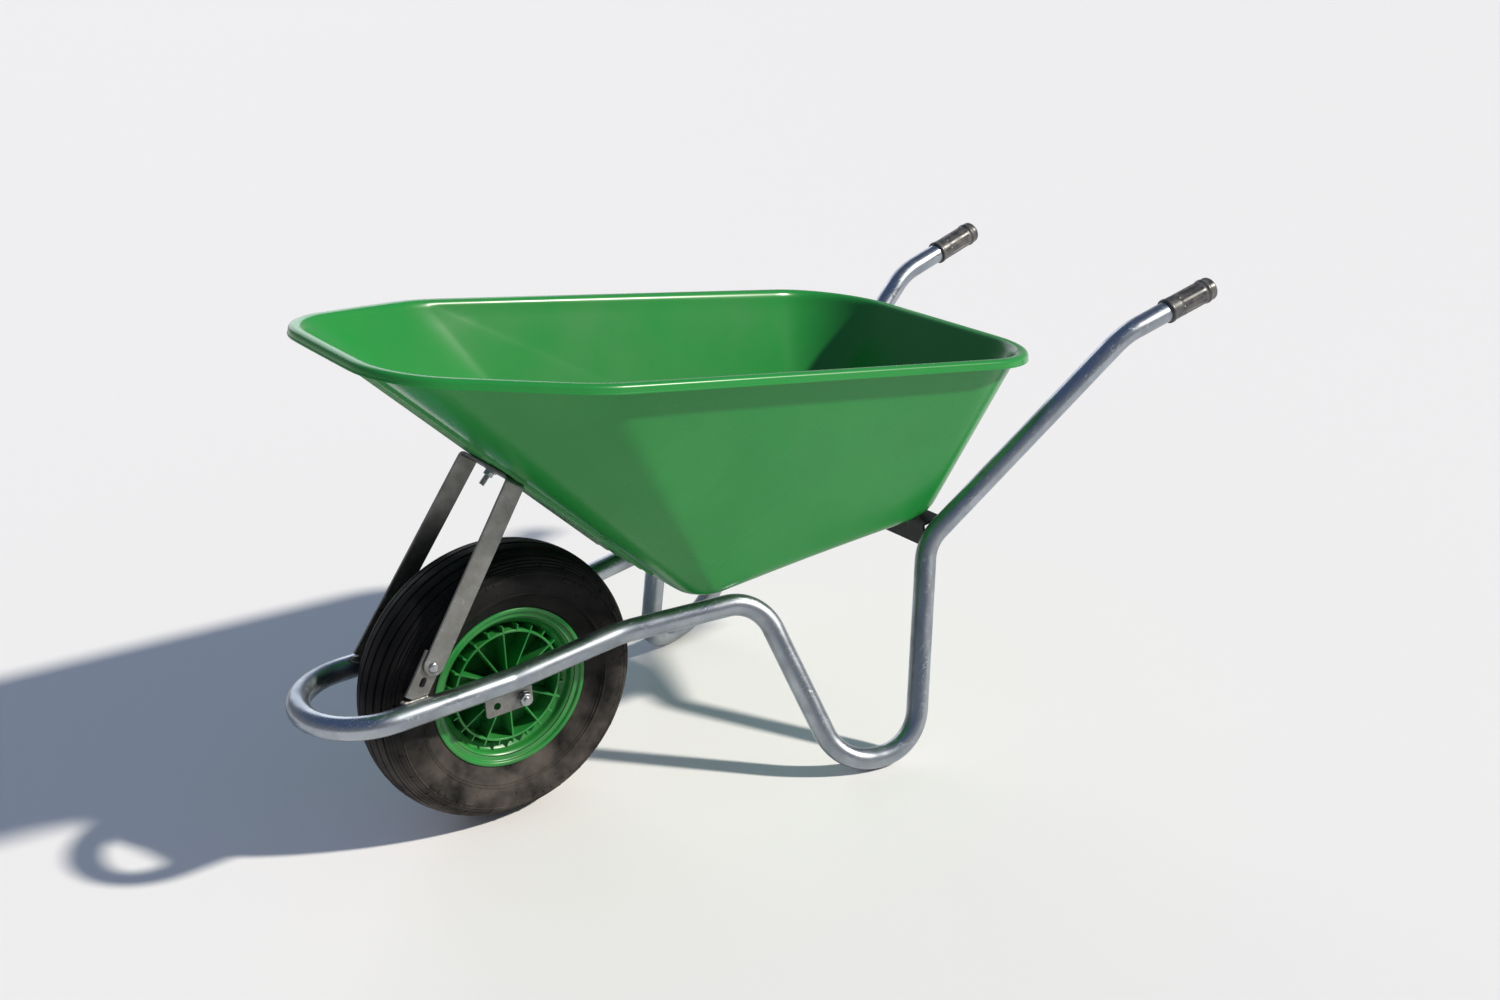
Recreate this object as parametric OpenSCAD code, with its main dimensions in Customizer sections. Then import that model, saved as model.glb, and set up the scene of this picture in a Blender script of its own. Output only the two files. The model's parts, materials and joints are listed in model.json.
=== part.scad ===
// Single-wheel garden wheelbarrow: moulded plastic tray on one continuous bent steel tube.
// +X points to the handles, +Y to the right-hand side, +Z up. Millimetres.

/* [Wheel] */
// Outer radius of the inflated tyre
tyre_radius = 200; // [190:1:206]
// Half of the tyre's section width
tyre_half_width = 59; // [50:1:60]
// Outer radius of the rim flanges
rim_radius = 116.5; // [112:0.5:120]
// Distance from the wheel's middle plane to a rim flange's outer face
rim_half_width = 41; // [36:1:44]
// Number of long ribs between the hub and the ring of the rim
rim_spokes = 12; // [8:1:16]

/* [Frame tube] */
// Outer diameter of the frame tube
tube_diameter = 32; // [30:1:34]
// Wall thickness of the frame tube
tube_wall = 1.8; // [1.5:0.1:3]
// Distance from the wheel's middle plane to a side tube's centreline
side_gap = 88; // [86:1:92]
// Height of the nose loop and the side tubes above the ground
side_height = 240; // [238:1:244]
// Distance from the axle forward to the nose loop's centreline
nose_reach = 278; // [260:1:300]

/* [Tray] */
// Thickness of the tray's wall
tray_wall = 4; // [3:0.5:6]
// Overhang of the rolled lip beyond the wall
lip_overhang = 16; // [10:1:18]
// Depth of the rolled lip
lip_depth = 14; // [10:1:18]
// Number of stiffening ribs down the front wall
front_ribs = 6; // [2:2:6]

/* [Grips] */
// Outer radius of a hand grip
grip_radius = 18.4; // [17.5:0.1:20]
// Length of a hand grip
grip_length = 95; // [80:1:120]

/* [Fasteners] */
// Diameter of the axle bolt
axle_diameter = 10; // [8:1:12]
// Diameter of the frame and tray bolts
bolt_diameter = 8; // [6:1:8]

/* [Hidden] */
$fn = 64;
tube_r = tube_diameter / 2;
axle_z = tyre_radius;

// Centreline of one side, from the end of the nose loop to the end of the handle
side_path = [
    [side_gap - nose_reach, side_gap, side_height],
    [-22, side_gap, side_height],
    [150, side_gap, side_height + 14],
    [358, side_gap + 41, side_height + 17],
    [407, 251, tube_r],
    [525, 280, tube_r],
    [633, 183, 284],
    [972, 250, 551],
    [1148, 265, 594]
];
side_bends = [0, 150, 156, 64, 75, 75, 75, 117, 0];
// A bend's section is drawn down this much, and a straight runs this far into it
bend_draw = 0.2;
run_on = 2;
last = len(side_path) - 1;
handle_end = side_path[last];
handle_dir = unit(handle_end - side_path[last - 1]);
grip_edge = 4.4;
grip_bead = 1.2;
tube_setback = 5;

// Tray planes: the rim falls towards the handles and the floor rises
rim_front_x = -176;
rim_front_z = 709.5;
rim_fall = 9.33;
floor_front_x = 262;
floor_front_z = 274;
floor_rise = 5;
// Corner discs of the rim and the floor: [x, y, radius] of the wall's outer face
rim_discs = [[-64, 78, 112], [88, 58, 190], [694, 124, 127]];
floor_discs = [[302, 85, 40], [641, 123, 35]];
front_wall_top = [rim_front_x, 0, rim_front_z];
front_wall_foot = [floor_front_x, 0, floor_front_z];
front_wall_dir = unit(front_wall_top - front_wall_foot);
front_wall_out = [-front_wall_dir[2], 0, front_wall_dir[0]];
rib_height = 4;
rib_width = 7;
rib_pitch = 24;
rib_length = 520;
rib_start = 60;

// Front stay: a flat bar bent to a U, with its legs down to the lugs on the side tubes
bar_width = 30;
bar_thickness = 4;
strap_along = 332;
strap_half = 64;
stay_leg = 270;
stay_lean = [-173, 18, -245];
strap_mid = front_wall_foot + front_wall_dir * strap_along + front_wall_out * (rib_height + 0.2);
stay_top = [strap_mid[0] + front_wall_out[0] * 4, strap_half, strap_mid[2] + front_wall_out[2] * 4];
stay_dir = unit(stay_lean);
stay_bolt_at = 258;
lug_from = 240;
lug_to = 306;
lug_slot_at = 281;
lug_shift = 3;

// Axle brackets and what sits on the axle
bracket_in = 69.5;
bracket_thickness = 4;
bracket_x = [-57, 14];
bracket_z = [186, 246];
bracket_corner = 5;
spare_hole_x = -40;
bracket_hole_r = axle_diameter / 2 + 0.25;
washer_t = 2;
hub_half = 46;
bush_flange = 3;
axle_nut_h = 8.4;
axle_head_h = 6.4;
axle_flats = 17;

// Rear brace: an angle bar with its top flange parallel to the tray's floor
brace_x = 637;
brace_leg = 38;
brace_t = 4;
brace_half = 170;
rear_bolt_x = 650;
rear_bolt_y = 90;
bolt_r = bolt_diameter / 2;
bolt_flats = 13;
nut_h = 6.5;

x_min = -nose_reach - tube_r + bend_draw;
end_radius = grip_radius - grip_edge;
x_max = handle_end[0] - grip_edge * handle_dir[0] + end_radius * sqrt(1 - pow(handle_dir[0], 2)) + grip_edge;
origin_shift = [-(x_min + x_max) / 2, 0, 0];

function unit(v) = v / norm(v);
function rim_z(x) = rim_front_z - (x - rim_front_x) * tan(rim_fall);
function floor_z(x) = floor_front_z + (x - floor_front_x) * tan(floor_rise);

// Places children with their own X, Y and Z axes along the given directions
module in_axes(ax, ay, az, at) {
    multmatrix([
        [ax[0], ay[0], az[0], at[0]],
        [ax[1], ay[1], az[1], at[1]],
        [ax[2], ay[2], az[2], at[2]],
        [0, 0, 0, 1]
    ]) children();
}

// Places children with Z along a direction; X stays in the vertical plane where it can
module along(dir, at) {
    side = abs(dir[1]) > 0.9 ? [1, 0, 0] : [0, 1, 0];
    ax = unit(cross(side, dir));
    in_axes(ax, cross(dir, ax), dir, at) children();
}

module both_sides() {
    children();
    mirror([0, 1, 0]) children();
}

module hexagon(flats, height) {
    cylinder(d = flats / cos(30), h = height, $fn = 6);
}

module ring(outer_r, inner_r, height) {
    difference() {
        cylinder(r = outer_r, h = height);
        translate([0, 0, -1]) cylinder(r = inner_r, h = height + 2);
    }
}

// Low domed head of a carriage bolt, its flat side at z = 0
module dome_head(head_r, height) {
    ball_r = (head_r * head_r + height * height) / (2 * height);
    intersection() {
        translate([0, 0, height - ball_r]) sphere(r = ball_r);
        cylinder(r = head_r, h = height + 1);
    }
}

// ---- Frame tube ----

// How far a bend reaches back along its two straights
function bend_reach(i) =
    side_bends[i] == 0 ? 0 :
    side_bends[i] * tan(bend_angle(i) / 2);
function bend_angle(i) =
    acos(unit(side_path[i] - side_path[i - 1]) * unit(side_path[i + 1] - side_path[i]));

// A straight reaches a little way into the bend at each end, and the handle's last one stops short
module straight_run(i, r, setback) {
    from = side_path[i];
    to = side_path[i + 1];
    dir = unit(to - from);
    start = bend_reach(i) - run_on;
    run = norm(to - from) - bend_reach(i + 1) - start + (i == last - 1 ? -setback : run_on);
    along(dir, from + dir * start) cylinder(r = r, h = run);
}

module bend(i, r) {
    d_in = unit(side_path[i] - side_path[i - 1]);
    d_out = unit(side_path[i + 1] - side_path[i]);
    axis = unit(cross(d_in, d_out));
    to_centre = cross(axis, d_in);
    start = side_path[i] - d_in * bend_reach(i);
    in_axes(-to_centre, d_in, axis, start + to_centre * side_bends[i])
        rotate_extrude(angle = bend_angle(i)) translate([side_bends[i], 0]) circle(r = r - bend_draw);
}

module tube_path(r, setback) {
    translate([side_gap - nose_reach, 0, side_height])
        rotate([0, 0, 90]) rotate_extrude(angle = 180) translate([side_gap, 0]) circle(r = r - bend_draw);
    both_sides() {
        for (i = [0:last - 1]) straight_run(i, r, setback);
        for (i = [1:last - 1]) bend(i, r);
    }
}

module frame_tube() {
    color("silver") difference() {
        tube_path(tube_r, tube_setback);
        tube_path(tube_r - tube_wall, tube_setback - 1);
    }
}

// ---- Axle brackets ----

module axle_bracket() {
    color("gainsboro") difference() {
        union() {
            translate([bracket_x[0], bracket_in, bracket_z[0] + bracket_corner])
                cube([bracket_x[1] - bracket_x[0], bracket_thickness, bracket_z[1] - bracket_z[0] - bracket_corner]);
            translate([bracket_x[0] + bracket_corner, bracket_in, bracket_z[0]])
                cube([bracket_x[1] - bracket_x[0] - 2 * bracket_corner, bracket_thickness, bracket_corner + 1]);
            for (x = [bracket_x[0] + bracket_corner, bracket_x[1] - bracket_corner])
                translate([x, bracket_in, bracket_z[0] + bracket_corner])
                    rotate([-90, 0, 0]) cylinder(r = bracket_corner, h = bracket_thickness);
        }
        for (x = [0, spare_hole_x])
            translate([x, bracket_in - 1, axle_z])
                rotate([-90, 0, 0]) cylinder(r = bracket_hole_r, h = bracket_thickness + 2);
    }
}

// ---- Axle ----

bracket_out = bracket_in + bracket_thickness;

module axle_bolt() {
    shank = 2 * bracket_out + 2 * washer_t + axle_nut_h + 3;
    color("silver") translate([0, bracket_out + washer_t, axle_z]) rotate([90, 0, 0]) {
        cylinder(d = axle_diameter, h = shank);
        translate([0, 0, -axle_head_h]) hexagon(axle_flats, axle_head_h);
    }
}

module axle_nut() {
    color("silver") translate([0, -bracket_out - washer_t, axle_z]) rotate([90, 0, 0]) difference() {
        hexagon(axle_flats, axle_nut_h);
        translate([0, 0, -1]) cylinder(r = axle_diameter / 2, h = axle_nut_h + 2);
    }
}

module axle_washers() {
    color("gainsboro") both_sides() translate([0, bracket_out, axle_z])
        rotate([-90, 0, 0]) ring(axle_diameter, bracket_hole_r, washer_t);
}

module axle_spacer() {
    length = bracket_in - hub_half - bush_flange - 0.4;
    color("silver") translate([0, hub_half + bush_flange + 0.4, axle_z])
        rotate([-90, 0, 0]) ring(8.5, axle_diameter / 2 + 0.15, length);
}

// ---- Front stay and its lugs ----

stay_flat = unit(cross(stay_dir, unit(cross([0, 1, 0], stay_dir))));
stay_across = cross(stay_flat, stay_dir);

// Frame of the right-hand stay leg: Z down the leg, Y through the bar's thickness
module on_leg(s, shift = 0) {
    in_axes(stay_across, stay_flat, stay_dir, stay_top + stay_dir * s + stay_across * shift) children();
}

module front_stay() {
    color("lightgray") difference() {
        union() {
            in_axes(front_wall_dir, [0, 1, 0], front_wall_out, strap_mid)
                translate([-bar_width / 2, -strap_half - bar_thickness / 2, 0])
                    cube([bar_width, 2 * strap_half + bar_thickness, bar_thickness]);
            both_sides() {
                on_leg(0) translate([-bar_width / 2, -bar_thickness / 2, 0])
                    cube([bar_width, bar_thickness, stay_leg - bar_width / 2]);
                on_leg(stay_leg - bar_width / 2) rotate([-90, 0, 0]) translate([0, 0, -bar_thickness / 2])
                    cylinder(d = bar_width, h = bar_thickness);
            }
        }
        along(front_wall_out, strap_mid - front_wall_out) cylinder(r = bolt_r + 0.5, h = bar_thickness + 2);
        both_sides() on_leg(stay_bolt_at) rotate([-90, 0, 0])
            translate([0, 0, -bar_thickness]) cylinder(r = bolt_r + 0.5, h = 2 * bar_thickness);
    }
}

module stay_lug() {
    color("lightgray") difference() {
        on_leg(lug_from, lug_shift) translate([-bar_width / 2, -1.5 * bar_thickness - 0.2, 0])
            cube([bar_width, bar_thickness, lug_to - lug_from]);
        on_leg(stay_bolt_at) rotate([-90, 0, 0])
            translate([0, 0, -2 * bar_thickness]) cylinder(r = bolt_r + 0.5, h = 2 * bar_thickness);
        for (s = [-3, 3]) on_leg(lug_slot_at + s, lug_shift) rotate([-90, 0, 0])
            translate([0, 0, -2 * bar_thickness]) cylinder(r = bolt_r, h = 2 * bar_thickness);
        on_leg(lug_slot_at - 3, lug_shift) translate([-bolt_r, -2 * bar_thickness, 0])
            cube([bolt_diameter, 2 * bar_thickness, 6]);
    }
}

module stay_bolts() {
    color("silver") both_sides() on_leg(stay_bolt_at) rotate([-90, 0, 0]) translate([0, 0, bar_thickness / 2]) {
        dome_head(7, 3.4);
        translate([0, 0, -2 * bar_thickness - nut_h - 2]) cylinder(r = bolt_r, h = 2 * bar_thickness + nut_h + 3);
    }
}

module stay_nuts() {
    color("silver") both_sides() on_leg(stay_bolt_at) rotate([-90, 0, 0])
        translate([0, 0, -1.5 * bar_thickness - 0.2 - nut_h]) difference() {
            hexagon(bolt_flats, nut_h);
            translate([0, 0, -1]) cylinder(r = bolt_r, h = nut_h + 2);
        }
}

// ---- Tray ----

// Hull of the rim's corner discs, grown or shrunk, between two heights about the rim plane
module rim_slab(grow, low, high) {
    hull() for (d = rim_discs, side = [-1, 1])
        translate([d[0], side * d[1], rim_z(d[0])]) rotate([0, rim_fall, 0])
            translate([0, 0, low]) cylinder(r = d[2] + grow, h = high - low, $fn = 40);
}

// Hull from the floor to the rim
module tray_body(grow, low, top) {
    hull() {
        for (d = rim_discs, side = [-1, 1])
            translate([d[0], side * d[1], rim_z(d[0])]) rotate([0, rim_fall, 0])
                translate([0, 0, top - 0.5]) cylinder(r = d[2] + grow, h = 0.5, $fn = 40);
        for (d = floor_discs, side = [-1, 1])
            translate([d[0], side * d[1], floor_z(d[0])]) rotate([0, -floor_rise, 0])
                translate([0, 0, low]) cylinder(r = d[2] + grow, h = 1, $fn = 32);
    }
}

module front_wall_rib(y) {
    in_axes(front_wall_dir, [0, 1, 0], front_wall_out, front_wall_foot)
        translate([rib_start, y - rib_width / 2, -2.5])
            cube([rib_length, rib_width, rib_height + 2.5]);
}

module tray() {
    color("forestgreen") difference() {
        union() {
            tray_body(0, 0, 0);
            rim_slab(lip_overhang, -lip_depth / 2, lip_depth / 2);
            for (i = [0:front_ribs - 1]) front_wall_rib((i - (front_ribs - 1) / 2) * rib_pitch);
        }
        tray_body(-tray_wall, tray_wall, 0);
        rim_slab(-tray_wall, -1, lip_depth / 2 + 1);
        along(front_wall_out, strap_mid - front_wall_out * 20) cylinder(r = bolt_r + 0.5, h = 30);
        for (side = [-1, 1]) rear_bolt_axis(side) translate([0, 0, -10]) cylinder(r = bolt_r + 0.5, h = 20);
    }
}

// ---- Rear brace and the tray's fasteners ----

// Z normal to the tray's floor, its origin on the floor's underside
module rear_bolt_axis(side) {
    translate([rear_bolt_x, side * rear_bolt_y, floor_z(rear_bolt_x)]) rotate([0, -floor_rise, 0]) children();
}

module rear_brace() {
    color([0.16, 0.17, 0.17]) difference() {
        translate([brace_x, 0, floor_z(brace_x)]) rotate([0, -floor_rise, 0]) {
            translate([0, -brace_half, -brace_t]) cube([brace_leg, 2 * brace_half, brace_t - 0.2]);
            translate([0, -brace_half, -brace_leg]) cube([brace_t, 2 * brace_half, brace_leg - 0.2]);
        }
        for (side = [-1, 1]) rear_bolt_axis(side) translate([0, 0, -10]) cylinder(r = bolt_r + 0.5, h = 20);
    }
}

module rear_tray_bolts() {
    color("silver") for (side = [-1, 1]) rear_bolt_axis(side) {
        translate([0, 0, tray_wall + 0.2]) dome_head(9, 4.5);
        translate([0, 0, -brace_t - washer_t - nut_h - 3])
            cylinder(r = bolt_r, h = brace_t + washer_t + nut_h + 3 + tray_wall + 1);
    }
}

module rear_tray_washers() {
    color("gainsboro") for (side = [-1, 1]) rear_bolt_axis(side)
        translate([0, 0, -brace_t - washer_t]) ring(8, bolt_r + 0.4, washer_t);
}

module rear_tray_nuts() {
    color("silver") for (side = [-1, 1]) rear_bolt_axis(side)
        translate([0, 0, -brace_t - washer_t - nut_h]) difference() {
            hexagon(bolt_flats, nut_h);
            translate([0, 0, -1]) cylinder(r = bolt_r, h = nut_h + 2);
        }
}

// Z out of the front wall, its origin on the strap's outer face
module on_strap() {
    along(front_wall_out, strap_mid + front_wall_out * bar_thickness) children();
}

strap_to_wall = bar_thickness + rib_height + 0.2;

module front_tray_bolt() {
    color("silver") on_strap() {
        translate([0, 0, -strap_to_wall - tray_wall - 0.5]) rotate([180, 0, 0]) dome_head(9, 4.5);
        translate([0, 0, -strap_to_wall - tray_wall - 1]) cylinder(r = bolt_r, h = strap_to_wall + tray_wall + 23);
    }
}

module front_tray_washer() {
    color("gainsboro") on_strap() ring(9, bolt_r + 0.4, washer_t);
}

module front_tray_nut() {
    color("silver") on_strap() translate([0, 0, washer_t]) difference() {
        hexagon(bolt_flats, nut_h);
        translate([0, 0, -1]) cylinder(r = bolt_r, h = nut_h + 2);
    }
}

// ---- Grips ----

module grip_profile() {
    difference() {
        union() {
            square([grip_radius, grip_length - grip_edge]);
            square([grip_radius - grip_edge, grip_length]);
            translate([grip_radius - grip_edge, grip_length - grip_edge]) circle(r = grip_edge);
            square([grip_radius + grip_bead, 5]);
            translate([0, grip_length - 18]) square([grip_radius + grip_bead, 4]);
        }
        translate([-1, -1]) square([tube_r + 1, grip_length - tube_setback + 1]);
        translate([-40, -1]) square([40, grip_length + 2]);
    }
}

module grip() {
    color([0.13, 0.13, 0.14]) along(handle_dir, handle_end - handle_dir * grip_length)
        rotate_extrude() grip_profile();
}

// ---- Wheel ----

bead_r = 101.5;
tyre_mid_r = (tyre_radius + rim_radius) / 2;
tyre_half_h = (tyre_radius - rim_radius) / 2;
tread_t = 9;
barrel_r = 88;
rim_wall = 4;
ring_r = 80;
rib_t = 3.5;
hub_r = 20;
bush_r = 11;
bush_length = 24;

// Point at an angle on the tyre's oval section, shrunk by an inset
function oval(a, inset) = [
    tyre_mid_r + (tyre_half_h - inset) * sin(a),
    (tyre_half_width - inset) * cos(a)
];

module wheel_place() {
    translate([0, 0, axle_z]) rotate([90, 0, 0]) children();
}

module tyre() {
    bead_y = rim_half_width - rim_wall - 0.3;
    outer = [for (a = [-38:6.4:218]) oval(a, 0)];
    inner = [for (a = [218:-6.4:-38]) oval(a, tread_t)];
    color([0.1, 0.1, 0.11]) wheel_place() rotate_extrude($fn = 96) polygon(concat(
        [[bead_r + 0.3, bead_y], [rim_radius + 0.6, bead_y]], outer,
        [[rim_radius + 0.6, -bead_y], [bead_r + 0.3, -bead_y], [bead_r + 0.3, 14 - rim_half_width]], inner,
        [[bead_r + 0.3, rim_half_width - 14]]));
}

module inner_tube() {
    color([0.18, 0.18, 0.18]) wheel_place() rotate_extrude($fn = 96) difference() {
        polygon([for (a = [0:10:350]) oval(a, tread_t + 3)]);
        polygon([for (a = [0:10:350]) oval(a, tread_t + 5)]);
    }
}

// Half section of the rim's barrel and flange: [radius, distance from the middle plane]
module rim_section() {
    half = [[barrel_r, 0], [barrel_r, 18], [bead_r - rim_wall, 24], [bead_r - rim_wall, rim_half_width - rim_wall],
        [rim_radius - rim_wall, rim_half_width], [rim_radius, rim_half_width], [rim_radius, rim_half_width - rim_wall],
        [bead_r, rim_half_width - rim_wall], [bead_r, 23], [barrel_r + rim_wall, 16], [barrel_r + rim_wall, 0]];
    for (s = [0, 1]) mirror([0, s]) polygon(half);
}

module rim() {
    color("green") wheel_place() difference() {
        union() {
            rotate_extrude($fn = 96) rim_section();
            translate([0, 0, -hub_half]) cylinder(r = hub_r, h = 2 * hub_half);
            translate([0, 0, -2.5]) cylinder(r = barrel_r + 1, h = 5);
            difference() {
                translate([0, 0, -32]) cylinder(r = ring_r + rib_t / 2, h = 64);
                translate([0, 0, -33]) cylinder(r = ring_r - rib_t / 2, h = 66);
            }
            for (i = [0:rim_spokes - 1]) rotate([0, 0, i * 360 / rim_spokes]) {
                translate([hub_r - 3, -rib_t / 2, -32]) cube([ring_r - hub_r + 3, rib_t, 64]);
                translate([ring_r, -rib_t / 2, -32]) cube([barrel_r - ring_r + 1, rib_t, 64]);
                rotate([0, 0, 180 / rim_spokes])
                    translate([ring_r, -rib_t / 2, -32]) cube([barrel_r - ring_r + 1, rib_t, 64]);
            }
        }
        translate([0, 0, -hub_half - 1]) cylinder(r = axle_diameter / 2 + 1.5, h = 2 * hub_half + 2);
        for (s = [-1, 1]) translate([0, 0, s * (hub_half - bush_length / 2 + 1)])
            cylinder(r = bush_r, h = bush_length + 2, center = true);
        valve_axis() translate([0, 0, -12]) cylinder(r = 5, h = 24);
    }
}

module hub_bush() {
    color("white") translate([0, hub_half, axle_z]) rotate([90, 0, 0]) difference() {
        union() {
            cylinder(r = bush_r, h = bush_length);
            translate([0, 0, -bush_flange]) cylinder(r = bush_r + 5, h = bush_flange);
        }
        translate([0, 0, -bush_flange - 1])
            cylinder(r = axle_diameter / 2 + 0.06, h = bush_length + bush_flange + 2);
    }
}

// Z from the barrel in towards the hub, between two ribs, on the right-hand side
valve_side = -9;
module valve_axis() {
    rotate([0, 0, 7.5 + 180]) translate([barrel_r + rim_wall / 2, 0, valve_side]) rotate([0, -90, 0]) children();
}

module valve_stem() {
    color([0.1, 0.1, 0.1]) wheel_place() valve_axis() {
        translate([0, 0, -rim_wall / 2 - 0.2 - 2.5]) cylinder(r = 6.8, h = 2.5);
        translate([0, 0, -rim_wall / 2 - 0.3]) cylinder(r = 4.8, h = 5);
        translate([0, 0, 2]) cylinder(r = 4, h = 20);
    }
}

module valve_cap() {
    color([0.08, 0.08, 0.08]) wheel_place() valve_axis() translate([0, 0, 22.2]) cylinder(r = 4.5, h = 9);
}

// Moves the whole barrow so that its origin is under the middle of its box, on the ground
module placed() {
    translate(origin_shift) children();
}

module left() {
    mirror([0, 1, 0]) children();
}

placed() frame_tube();
placed() front_stay();
placed() left() stay_lug();  // stay_lug_left
placed() stay_lug();  // stay_lug_right
placed() stay_bolts();
placed() stay_nuts();
placed() left() axle_bracket();  // axle_bracket_left
placed() axle_bracket();  // axle_bracket_right
placed() axle_bolt();
placed() axle_nut();
placed() axle_washers();
placed() left() axle_spacer();  // axle_spacer_left
placed() axle_spacer();  // axle_spacer_right
placed() tray();
placed() rear_brace();
placed() rear_tray_bolts();
placed() rear_tray_washers();
placed() rear_tray_nuts();
placed() front_tray_bolt();
placed() front_tray_washer();
placed() front_tray_nut();
placed() left() grip();  // grip_left
placed() grip();  // grip_right
placed() tyre();
placed() inner_tube();
placed() rim();
placed() left() hub_bush();  // hub_bush_left
placed() hub_bush();  // hub_bush_right
placed() valve_stem();
placed() valve_cap();
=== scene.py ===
"""Single-wheel barrow: green moulded tray, one bent galvanised tube, pneumatic wheel on a plastic rim."""

import json
import logging
import math
from dataclasses import dataclass, field

import bmesh
import bpy
import numpy as np
from mathutils import Matrix

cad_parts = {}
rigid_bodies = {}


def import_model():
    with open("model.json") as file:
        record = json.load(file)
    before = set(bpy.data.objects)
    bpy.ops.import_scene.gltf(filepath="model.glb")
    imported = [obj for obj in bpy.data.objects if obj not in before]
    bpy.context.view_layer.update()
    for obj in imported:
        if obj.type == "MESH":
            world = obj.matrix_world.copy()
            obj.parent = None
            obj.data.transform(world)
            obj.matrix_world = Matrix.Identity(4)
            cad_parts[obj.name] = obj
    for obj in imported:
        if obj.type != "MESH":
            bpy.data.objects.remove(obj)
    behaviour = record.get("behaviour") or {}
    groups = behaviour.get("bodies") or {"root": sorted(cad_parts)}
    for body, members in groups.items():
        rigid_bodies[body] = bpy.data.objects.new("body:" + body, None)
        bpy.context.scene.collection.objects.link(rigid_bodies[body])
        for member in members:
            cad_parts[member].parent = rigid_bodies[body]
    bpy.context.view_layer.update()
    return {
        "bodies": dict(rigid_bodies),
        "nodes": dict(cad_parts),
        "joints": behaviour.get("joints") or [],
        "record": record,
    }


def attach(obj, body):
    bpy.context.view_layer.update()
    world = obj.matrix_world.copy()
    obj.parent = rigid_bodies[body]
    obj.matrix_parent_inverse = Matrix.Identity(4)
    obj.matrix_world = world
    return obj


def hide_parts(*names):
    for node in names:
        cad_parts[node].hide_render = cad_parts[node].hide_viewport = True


LOG = logging.getLogger("barrow")
Array = np.ndarray
Socket = bpy.types.NodeSocket
MM = 0.001
AXLE_HEIGHT = 200.0  # mm, the wheel's outer radius
TURN = 2 * np.pi


# ---------------------------------------------------------------- small mathematics


def unit(vector: Array) -> Array:
    """Vectors scaled to length one along the last axis."""
    vector = np.asarray(vector, float)
    return vector / np.linalg.norm(vector, axis=-1, keepdims=True)


def smoothstep(values: Array, start: float, end: float) -> Array:
    """Zero before start, one after end, and 3t^2 - 2t^3 between them."""
    t = np.clip((np.asarray(values, float) - start) / (end - start), 0.0, 1.0)
    return t * t * (3.0 - 2.0 * t)


def turned(vectors: Array, axis: Array, angles: Array) -> Array:
    """Turns vectors about an axis.

    Args:
        vectors: one vector.
        axis: unit axis.
        angles: n angles in radians, right-handed about the axis.

    Returns:
        n turned vectors: v cos a + (k x v) sin a + k (k . v)(1 - cos a).
    """
    c, s = np.cos(angles)[:, None], np.sin(angles)[:, None]
    return vectors * c + np.cross(axis, vectors) * s + axis * (axis @ vectors) * (1.0 - c)


def quadratic(start: Array, middle: Array, end: Array, steps: int) -> Array:
    """A quadratic Bezier curve for each row of points, without its two ends.

    Args:
        start: first control points, (n, 3).
        middle: middle control points, (n, 3).
        end: last control points, (n, 3).
        steps: number of points inside the curve.

    Returns:
        Points (steps, n, 3): (1-t)^2 start + 2t(1-t) middle + t^2 end.
    """
    t = (np.arange(1, steps + 1) / (steps + 1.0))[:, None, None]
    return (1 - t) ** 2 * start + 2 * t * (1 - t) * middle + t**2 * end


def round_axis(radii: Array, angles: Array, heights: Array) -> Array:
    """Points (r cos a, r sin a, h) of arrays that broadcast together."""
    parts = np.broadcast_arrays(radii * np.cos(angles), radii * np.sin(angles), heights)
    return np.stack(parts, axis=-1)


def travelled(points: Array) -> Array:
    """Distance along a polyline at each of its points."""
    return np.concatenate([[0], np.cumsum(np.linalg.norm(np.diff(points, axis=0), axis=1))])


def linked(name: str, data: bpy.types.ID) -> bpy.types.Object:
    """A new object, in the scene."""
    obj = bpy.data.objects.new(name, data)
    bpy.context.scene.collection.objects.link(obj)
    return obj


# ---------------------------------------------------------------- meshes


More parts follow.
